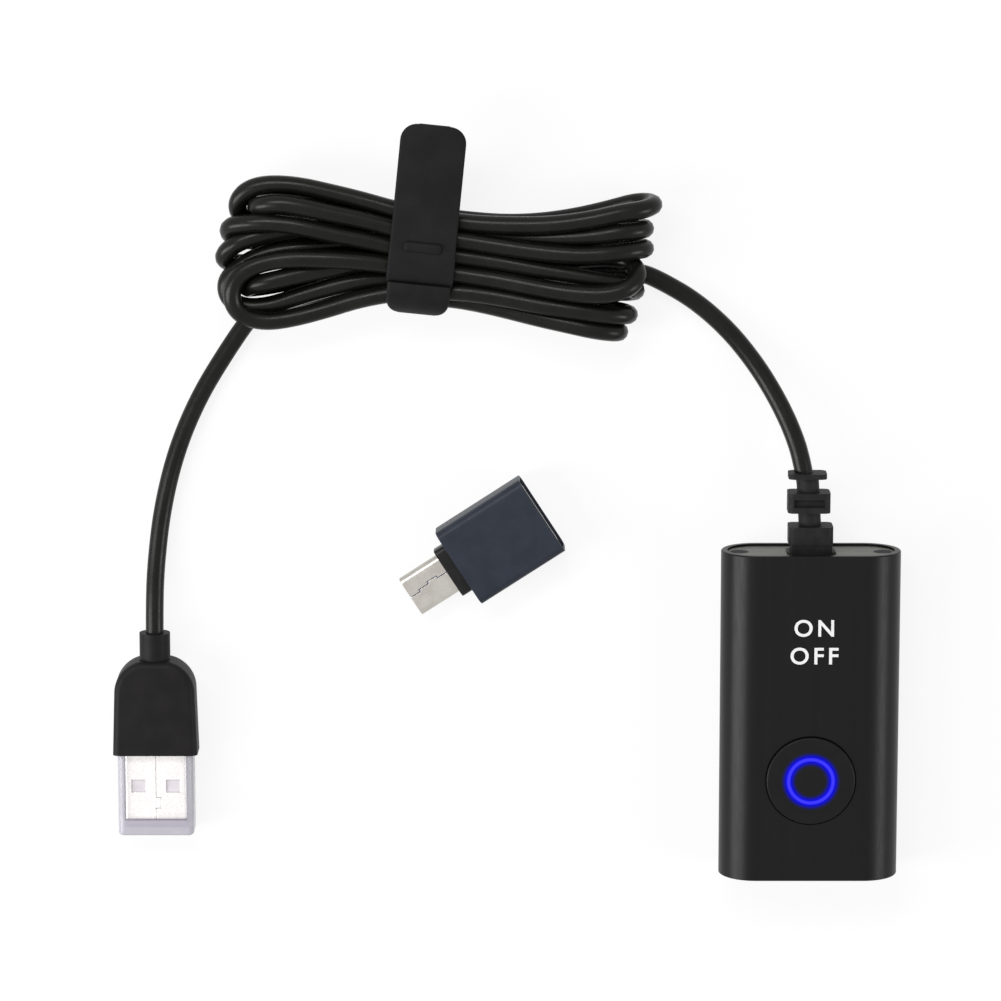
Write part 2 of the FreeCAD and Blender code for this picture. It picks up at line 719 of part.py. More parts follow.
def make_wire(name, number):
    """One lead wire from the jacket's end down to its pad."""
    radius = float(s.wire_diameter) / 2
    start_y = float(plate_inner - s.boot_flange_thickness - s.cord_diameter)
    spread = float(s.wire_spread) * (1 if number > 1 else -1)
    lift = float(s.wire_spread) * (1 if number in (0, 3) else -1)
    pad_x = float(pad_place(number))
    pad_end = float(pad_y)
    level = float(board_top + s.pad_height) + radius
    points = [Vector(spread, start_y, float(case_middle) + lift),
              Vector(spread, start_y - float(s.wire_straight), float(case_middle) + lift),
              Vector(pad_x, pad_end + float(s.wire_landing), level),
              Vector(pad_x, pad_end, level)]
    return tube_along(name, points, 2 * radius)


NEAR_CORD = [(-1.2, 44.8, 7.0), (-2.0, 49.5, 6.9), (-4.0, 55.3, 6.0), (-7.0, 61.3, 4.4),
             (-10.9, 67.4, 2.8), (-16.0, 73.6, 1.9), (-22.4, 79.2, 1.8), (-29.0, 83.0, 1.8),
             (-36.0, 85.4, 2.0)]
FAR_CORD = [(-102.1, 80.8, 2.4), (-106.6, 77.6, 1.9), (-112.0, 69.2, 1.8), (-117.2, 60.2, 1.8),
            (-121.5, 50.0, 1.8), (-124.3, 38.8, 1.8), (-125.6, 28.0, 2.4), (-125.9, 20.5, 3.6),
            (-125.9, 14.2, 4.1)]


def make_cord(name, route):
    return tube_along(name, [Vector(*point) for point in route], float(s.cord_diameter))


# places along X, each with half the width of the folded turns along Y, their middle and their height
HANK_LEFT = [(-114.0, 5.5, 89.0, 8.0), (-111.0, 11.5, 89.5, 11.2), (-104.0, 14.2, 90.0, 12.6),
             (-96.0, 13.6, 90.0, 12.8), (-87.0, 11.6, 89.5, 12.0)]
HANK_RIGHT = [(-58.0, 11.2, 88.2, 12.2), (-46.0, 13.4, 86.8, 13.6), (-38.0, 14.0, 86.8, 14.0),
              (-33.0, 12.8, 88.0, 12.4), (-29.5, 7.5, 90.0, 8.0)]


def hank_section(x, half_height, middle_y, depth, middle_z):
    """An upright oval across the turns."""
    major, minor = (half_height, depth / 2) if half_height > depth / 2 else (depth / 2, half_height)
    oval = Part.Ellipse(Vector(0, 0, 0), major, minor)
    wire = Part.Wire(oval.toShape())
    turn = Rotation(Vector(0, 1, 0), Vector(0, 0, 1), Vector(1, 0, 0), "XYZ")
    upright = Rotation(Vector(1, 0, 0), Vector(0, 1, 0), Vector(0, 0, 1), "XYZ")
    wire.Placement = Placement(Vector(x, middle_y, middle_z), turn * upright)
    return wire


def make_cord_hank():
    """Outer shape of the folded turns, drawn in at the strap."""
    waist = [(float(s.strap_x + side * s.waist_length / 2), float(s.waist_height) / 2,
              float(s.hank_y), float(s.waist_depth)) for side in (-1, 1)]
    sections = []
    for x, half, middle, depth in HANK_LEFT + waist + HANK_RIGHT:
        level = float(hank_level) if (x, half, middle, depth) in waist else depth / 2 + 0.15
        sections.append(hank_section(x, half, middle, depth, level))
    result = doc.addObject("Part::Feature", "cord_hank")
    result.Shape = Part.makeLoft(sections, True, True)
    return result


def make_cable_strap():
    """Band round the hank's waist with its free end lying over the top."""
    body = body_named("cable_strap")
    section = sketch_on(body, "YZ_Plane", "strap_section")
    inner_height = s.waist_height + 2 * s.strap_gap + 2 * s.strap_slack
    inner_depth = s.waist_depth + 2 * s.strap_gap
    twice = 2 * s.strap_thickness
    stadium(section, 0.0, hank_level, inner_height + twice, inner_depth + twice)
    stadium(section, 0.0, hank_level, inner_height, inner_depth)
    feature(body, "Pad", section, s.strap_width, both=True)

    top = hank_level + inner_depth / 2 + s.strap_thickness
    reach = s.strap_end_y - s.hank_y
    tail = sketch_on(body, "XY_Plane", "strap_tail", top)
    half = s.strap_width / 2
    corner = s.strap_corner
    start = -s.tail_start
    outline(tail, [(-half, start), (half, start), (half, reach - corner),
                   (half - corner, reach, half - corner, reach - corner), (corner - half, reach),
                   (-half, reach - corner, corner - half, reach - corner)])
    feature(body, "Pad", tail, s.strap_thickness)
    nub = sketch_on(body, "XY_Plane", "strap_nub", top)
    rounded(nub, 0.0, s.nub_reach, s.nub_length, s.nub_width, 0.3 * s.nub_width)
    feature(body, "Pad", nub, s.strap_thickness + s.nub_height)
    body.Placement = Placement(vector(s.strap_x, s.hank_y), Rotation(Vector(0, 0, 1), float(s.strap_slant)))
    bind(body, "Placement.Base.x", s.strap_x)
    bind(body, "Placement.Base.y", s.hank_y)
    return body


# ---------------------------------------------------------------- USB-A plug

plug_low = s.plug_axis - s.shell_depth / 2
tongue_face = s.plug_axis + s.shell_depth / 2 - s.shell_wall - s.tongue_gap - s.tongue_depth


def make_plug_overmould():
    """Moulded grip with rounded shoulders, and the collar where the lead enters."""
    body = body_named("plug_overmould")
    front = s.plug_face_y
    half = s.grip_width / 2
    waist = half - s.grip_taper
    shoulder = front + s.grip_straight
    neck = s.grip_neck / 2
    back = front + s.grip_length
    inward = waist - neck
    rise = back - shoulder
    radius = (inward * inward + rise * rise) / (2 * inward)
    face = sketch_on(body, "XY_Plane", "grip_outline", s.plug_axis)
    outline(face, [(s.plug_x - half, front), (s.plug_x + half, front), (s.plug_x + waist, shoulder),
                   (s.plug_x + neck, back, s.plug_x + waist - radius, shoulder),
                   (s.plug_x - neck, back),
                   (s.plug_x - waist, shoulder, s.plug_x - waist + radius, shoulder)])
    feature(body, "Pad", face, s.grip_depth, both=True)
    soft = dressed(body, "Fillet", "grip_soft", flat_face_edges)
    bind(soft, "Radius", s.grip_round)

    collar = sketch_on(body, "XZ_Plane", "collar_section", -(back - s.grip_round))
    circle(collar, s.plug_x, s.plug_axis, s.collar_radius)
    feature(body, "Pad", collar, s.collar_length + s.grip_round, back=True)
    socket = sketch_on(body, "XZ_Plane", "shell_socket_section", -front)
    rectangle(socket, s.plug_x, s.plug_axis, s.shell_width + 2 * s.tongue_gap,
              s.shell_depth + 2 * s.tongue_gap)
    feature(body, "Pocket", socket, s.shell_socket + s.tongue_gap)
    return body


def flat_face_edges(shape):
    """Edges of the grip's upper and lower faces, apart from the two at its front."""
    names = []
    for number, edge in enumerate(shape.Edges, 1):
        bounds = edge.BoundBox
        level = bounds.ZLength < 0.01
        at_front = bounds.YLength < 0.01 and bounds.Center.y < float(s.plug_face_y) + 0.01
        if level and not at_front:
            names.append(f"Edge{number}")
    return names


def make_plug_shell():
    """Folded shell, open at both ends, with two windows above and below and its seam."""
    body = body_named("plug_shell")
    back = s.plug_face_y + s.shell_socket
    section = sketch_on(body, "XZ_Plane", "shell_section", -back)
    rounded(section, s.plug_x, s.plug_axis, s.shell_width, s.shell_depth, s.shell_corner)
    rounded(section, s.plug_x, s.plug_axis, s.shell_width - 2 * s.shell_wall,
            s.shell_depth - 2 * s.shell_wall, s.shell_corner - s.shell_wall)
    feature(body, "Pad", section, s.shell_length + s.shell_socket)
    windows = sketch_on(body, "XY_Plane", "shell_windows", s.plug_axis)
    for side in (1, -1):
        rectangle(windows, s.plug_x + side * s.window_offset, s.plug_face_y - s.window_y,
                  s.window_width, s.window_length)
    feature(body, "Pocket", windows, 2 * s.shell_depth, both=True)
    seam = sketch_on(body, "XY_Plane", "shell_seam", s.plug_axis + s.shell_depth / 2)
    lock = s.plug_face_y - s.seam_lock_y
    lock_end = lock - s.seam_lock_length
    beside = s.plug_x + s.seam_lock_reach
    ribbon(seam, [(s.plug_x, back + s.shell_wall), (s.plug_x, lock), (beside, lock), (beside, lock_end),
                  (s.plug_x, lock_end), (s.plug_x, s.plug_face_y - s.shell_length - s.shell_wall)],
           s.seam_width)
    feature(body, "Pocket", seam, 1.5 * s.shell_wall)
    return body


def make_plug_insulator():
    """White block behind, and the tongue above the contacts, under the shell's seam."""
    body = body_named("plug_insulator")
    floor = plug_low + s.shell_wall + s.tongue_gap
    tongue = sketch_on(body, "XY_Plane", "tongue_outline", tongue_face)
    length = s.shell_length + s.shell_socket - 2 * s.tongue_gap
    middle = s.plug_face_y + s.shell_socket - s.tongue_gap - length / 2
    rectangle(tongue, s.plug_x, middle, s.tongue_width, length)
    feature(body, "Pad", tongue, s.tongue_depth)
    heel = sketch_on(body, "XY_Plane", "tongue_heel", floor)
    rectangle(heel, s.plug_x, s.plug_face_y + s.shell_socket - s.tongue_gap - s.tongue_back / 2,
              s.tongue_width, s.tongue_back)
    feature(body, "Pad", heel, s.shell_depth - 2 * s.shell_wall - 2 * s.tongue_gap)
    return body


def make_plug_contacts():
    strips = []
    level = tongue_face - s.contact_height
    tip = s.plug_face_y - s.shell_length + s.contact_setback
    for number in range(4):
        strips.append(box(f"plug_contact_{number}", s.plug_x + (number - 1.5) * s.contact_pitch,
                          tip + s.contact_length / 2, level, s.contact_width, s.contact_length,
                          s.contact_height))
    return group("plug_contacts", strips)


def make_plug_cap():
    """Thin box with a rounded far end that slides over the shell."""
    body = body_named("plug_cap")
    outside = sketch_on(body, "XZ_Plane", "cap_section", -s.plug_face_y)
    rounded(outside, s.plug_x, s.plug_axis, s.cap_width, s.cap_depth, s.cap_round)
    feature(body, "Pad", outside, s.cap_length)
    end = dressed(body, "Fillet", "cap_end_round", cap_end_edges)
    bind(end, "Radius", s.cap_end_round)
    inside = sketch_on(body, "XZ_Plane", "cap_hollow", -s.plug_face_y)
    rounded(inside, s.plug_x, s.plug_axis, s.shell_width + 2 * s.cap_gap, s.shell_depth + 2 * s.cap_gap,
            s.shell_corner)
    feature(body, "Pocket", inside, s.cap_length - s.cap_end, back=True)
    return body


def cap_end_edges(shape):
    names = []
    for number, edge in enumerate(shape.Edges, 1):
        bounds = edge.BoundBox
        if bounds.YLength < 0.01 and bounds.Center.y < float(s.plug_face_y - s.cap_length) + 0.01:
            names.append(f"Edge{number}")
    return names


# ---------------------------------------------------------------- adapter, along X with its tip at -X

sleeve_back = s.sleeve_length / 2
sleeve_front = -sleeve_back
adapter_axis = s.sleeve_depth / 2
nose_back = sleeve_front + s.nose_inset + s.nose_thickness
c_front = sleeve_front + s.nose_inset - s.nose_step_length - s.c_length
socket_mouth = sleeve_back - s.socket_mouth
socket_back = socket_mouth - s.socket_length


def lay_adapter(thing):
    """Turn a finished adapter piece to its heading and move it to its place."""
    thing.Placement = Placement(vector(s.adapter_x, s.adapter_y),
                                Rotation(Vector(0, 0, 1), float(s.adapter_heading)))
    bind(thing, "Placement.Base.x", s.adapter_x)
    bind(thing, "Placement.Base.y", s.adapter_y)
    bind(thing, "Placement.Rotation.Angle", s.adapter_heading)
    return thing


def make_adapter_sleeve():
    """Open rectangular tube with rounded long edges."""
    body = body_named("adapter_sleeve")
    section = sketch_on(body, "YZ_Plane", "sleeve_section")
    rounded(section, 0.0, adapter_axis, s.sleeve_width, s.sleeve_depth, s.sleeve_round)
    rounded(section, 0.0, adapter_axis, s.sleeve_width - 2 * s.sleeve_wall,
            s.sleeve_depth - 2 * s.sleeve_wall, s.sleeve_round - s.sleeve_wall)
    feature(body, "Pad", section, s.sleeve_length, both=True)
    return lay_adapter(body)


def make_adapter_nose():
    """Plug of black plastic inside the sleeve, with the step that holds the C plug."""
    body = body_named("adapter_nose")
    inside = 2 * (s.sleeve_wall + s.nose_gap)
    plate = sketch_on(body, "YZ_Plane", "nose_plate", sleeve_front + s.nose_inset)
    rounded(plate, 0.0, adapter_axis, s.sleeve_width - inside, s.sleeve_depth - inside,
            s.sleeve_round - s.sleeve_wall)
    feature(body, "Pad", plate, s.nose_thickness)
    step = sketch_on(body, "YZ_Plane", "nose_step", sleeve_front + s.nose_inset)
    rounded(step, 0.0, adapter_axis, s.nose_step_width, s.nose_step_depth, s.nose_step_depth / 4)
    feature(body, "Pad", step, s.nose_step_length, back=True)
    hole = sketch_on(body, "YZ_Plane", "nose_hole", nose_back)
    stadium(hole, 0.0, adapter_axis, s.c_width + 2 * s.nose_gap, s.c_depth + 2 * s.nose_gap)
    feature(body, "Pocket", hole, 1.5 * (s.nose_thickness + s.nose_step_length))
    return lay_adapter(body)


def make_adapter_c_shell():
    """Rounded nickel shell."""
    body = body_named("adapter_c_shell")
    section = sketch_on(body, "YZ_Plane", "c_section", c_front)
    stadium(section, 0.0, adapter_axis, s.c_width, s.c_depth)
    stadium(section, 0.0, adapter_axis, s.c_width - 2 * s.c_wall, s.c_depth - 2 * s.c_wall)
    feature(body, "Pad", section, nose_back - c_front)
    seam = sketch_on(body, "XY_Plane", "c_seam", adapter_axis + s.c_depth / 2)
    path = [(c_front - s.c_wall, 0.0 * s.c_wall)]
    for number, level in enumerate((1, 2, 1), 1):
        x = c_front + number * s.c_length / 4
        path.append((x, path[-1][1]))
        path.append((x, level * s.c_seam_step / 2))
    path.append((nose_back + s.c_wall, path[-1][1]))
    ribbon(seam, path, s.seam_width)
    feature(body, "Pocket", seam, 1.5 * s.c_wall)
    return lay_adapter(body)


def make_adapter_c_insulator():
    """Blue lining of the C plug with its open slot."""
    body = body_named("adapter_c_insulator")
    lining = 2 * (s.c_wall + s.nose_gap)
    front = c_front + s.c_lip
    section = sketch_on(body, "YZ_Plane", "lining_section", front)
    stadium(section, 0.0, adapter_axis, s.c_width - lining, s.c_depth - lining)
    feature(body, "Pad", section, nose_back - front)
    slot = sketch_on(body, "YZ_Plane", "lining_slot", front)
    rounded(slot, 0.0, adapter_axis, s.c_slot_width, s.c_slot_depth, 0.2)
    feature(body, "Pocket", slot, s.c_length, back=True)
    return lay_adapter(body)


def make_adapter_c_contacts():
    """Two rows of spring contacts along the slot."""
    strips = []
    for side in (1, -1):
        low = adapter_axis + side * (s.c_slot_depth / 2 - s.c_contact_height / 2) - s.c_contact_height / 2
        for number in range(12):
            strips.append(box(f"c_contact_{number}_{side + 1}", c_front + s.c_lip + s.c_length / 2,
                              (number - 5.5) * s.c_contact_pitch, low, s.c_length - s.c_contact_short,
                              s.c_contact_width, s.c_contact_height))
    return lay_adapter(group("adapter_c_contacts", strips))


def make_adapter_board():
    """Small board between the C plug and the socket."""
    length = socket_back - nose_back - 2 * s.nose_gap
    piece = box("adapter_board_blank", (socket_back + nose_back) / 2, 0.0,
                adapter_axis - s.adapter_board_thickness / 2, length, s.nose_step_width,
                s.adapter_board_thickness)
    return lay_adapter(group("adapter_board", [piece]))


def make_adapter_a_shell():
    """Steel lining of the A socket, with two spring slots above and below."""
    body = body_named("adapter_a_shell")
    section = sketch_on(body, "YZ_Plane", "socket_section", socket_mouth)
    rounded(section, 0.0, adapter_axis, s.socket_width, s.socket_depth, s.socket_corner)
    rounded(section, 0.0, adapter_axis, s.socket_width - 2 * s.socket_wall,
            s.socket_depth - 2 * s.socket_wall, s.socket_corner - s.socket_wall)
    feature(body, "Pad", section, s.socket_length, back=True)
    slots = sketch_on(body, "XY_Plane", "spring_slots", adapter_axis)
    for side in (1, -1):
        rectangle(slots, socket_mouth - s.socket_length / 2, side * s.socket_width / 4, s.socket_length / 2,
                  s.contact_width)
    feature(body, "Pocket", slots, 1.5 * s.socket_depth, both=True)
    return lay_adapter(body)


def make_adapter_a_tongue():
    """Tongue that a plug's shell slides over, on its rear block."""
    body = body_named("adapter_a_tongue")
    level = adapter_axis + s.a_tongue_shift
    block = sketch_on(body, "YZ_Plane", "tongue_block", socket_back)
    inside = 2 * (s.socket_wall + s.nose_gap)
    rounded(block, 0.0, adapter_axis, s.socket_width - inside, s.socket_depth - inside,
            s.socket_corner - s.socket_wall)
    feature(body, "Pad", block, s.socket_length - s.a_tongue_length - s.a_tongue_back)
    blade = sketch_on(body, "YZ_Plane", "tongue_blade", socket_back)
    rectangle(blade, 0.0, level, s.a_tongue_width, s.a_tongue_thickness)
    feature(body, "Pad", blade, s.socket_length - s.a_tongue_back)
    return lay_adapter(body)


def make_adapter_a_contacts():
    strips = []
    level = adapter_axis + s.a_tongue_shift - s.a_tongue_thickness / 2 - s.contact_height
    for number in range(4):
        strips.append(box(f"a_contact_{number}", socket_mouth - s.a_tongue_back - s.contact_length / 2,
                          (number - 1.5) * s.contact_pitch, level, s.contact_length - s.a_tongue_back,
                          s.contact_width, s.contact_height))
    return lay_adapter(group("adapter_a_contacts", strips))


# ---------------------------------------------------------------- assembly

parts = [
    make_housing_tube(),
    make_end_plate("cable_end_plate", 1, True),
    make_end_plate("blind_end_plate", -1, False),
    make_screws("cable_end_screws", 1),
    make_screws("blind_end_screws", -1),
    make_circuit_board(),
    make_microcontroller(),
    make_crystal(),
    chip_row("chip_capacitors", -beside_chip - s.small_row_pitch / 2, 4, s.small_chip_height),
    chip_row("chip_resistors", -beside_chip + s.small_row_pitch / 2, 4, 0.75 * s.small_chip_height),
    make_led_chips(),
    make_switch_base(),
    make_switch_plunger(),
    make_solder_pads(),
    make_button_cap(),
    make_light_ring(),
    make_button_centre(),
    make_strain_relief(),
    make_cable_jacket_end(),
    make_wire("wire_red", 0),
    make_wire("wire_white", 1),
    make_wire("wire_green", 2),
    make_wire("wire_black", 3),
    make_cord("cord_near", NEAR_CORD),
    make_cord("cord_far", FAR_CORD),
    make_cord_hank(),
    make_cable_strap(),
    make_plug_overmould(),
    make_plug_shell(),
    make_plug_insulator(),
    make_plug_contacts(),
    make_plug_cap(),
    make_adapter_sleeve(),
    make_adapter_nose(),
    make_adapter_c_shell(),
    make_adapter_c_insulator(),
    make_adapter_c_contacts(),
    make_adapter_board(),
    make_adapter_a_shell(),
    make_adapter_a_tongue(),
    make_adapter_a_contacts(),
]
doc.recompute()

for item in doc.Objects:
    if "Invalid" in item.State or "Error" in item.State:
        raise RuntimeError(f"{item.Label} failed: {item.State}")

os.makedirs("parts", exist_ok=True)
for part in parts:
    if part.Shape.isNull() or not part.Shape.isValid() or not part.Shape.Solids:
        raise RuntimeError(f"{part.Label} has no sound shape")
    part.Shape.exportStep(os.path.join("parts", f"{part.Label}.step"))
print(len(parts), "parts")
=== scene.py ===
import json
import math

import bmesh
import bpy
from mathutils import Matrix, Vector

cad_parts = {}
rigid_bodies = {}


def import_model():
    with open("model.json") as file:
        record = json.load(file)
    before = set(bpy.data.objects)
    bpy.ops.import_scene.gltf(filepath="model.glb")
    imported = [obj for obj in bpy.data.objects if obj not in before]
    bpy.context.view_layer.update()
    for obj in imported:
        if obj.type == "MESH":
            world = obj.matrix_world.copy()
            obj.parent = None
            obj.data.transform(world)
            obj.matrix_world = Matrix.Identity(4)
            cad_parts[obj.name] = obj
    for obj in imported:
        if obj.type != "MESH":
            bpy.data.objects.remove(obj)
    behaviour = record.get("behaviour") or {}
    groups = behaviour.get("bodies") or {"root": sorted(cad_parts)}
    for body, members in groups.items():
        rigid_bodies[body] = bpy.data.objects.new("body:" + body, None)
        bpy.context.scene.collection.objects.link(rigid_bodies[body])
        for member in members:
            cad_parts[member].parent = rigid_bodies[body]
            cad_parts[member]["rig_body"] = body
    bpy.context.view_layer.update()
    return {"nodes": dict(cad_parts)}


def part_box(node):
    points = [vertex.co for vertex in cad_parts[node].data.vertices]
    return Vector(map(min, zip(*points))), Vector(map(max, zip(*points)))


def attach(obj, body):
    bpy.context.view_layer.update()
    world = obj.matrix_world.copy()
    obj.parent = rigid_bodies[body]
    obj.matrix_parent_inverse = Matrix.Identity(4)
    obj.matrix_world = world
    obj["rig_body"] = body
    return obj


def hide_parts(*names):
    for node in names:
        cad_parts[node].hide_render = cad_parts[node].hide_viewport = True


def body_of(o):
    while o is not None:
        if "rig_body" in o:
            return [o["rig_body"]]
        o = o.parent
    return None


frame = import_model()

bl_info = {
    "name": "Mouse jiggler looks",
    "version": (1, 0, 0),
    "blender": (4, 5, 0),
    "location": "View3D > Sidebar > Jiggler",
    "description": "Builds the visible pieces, finishes and stage of a mouse jiggler on its frame",
    "category": "Object",
}

MM = 0.001

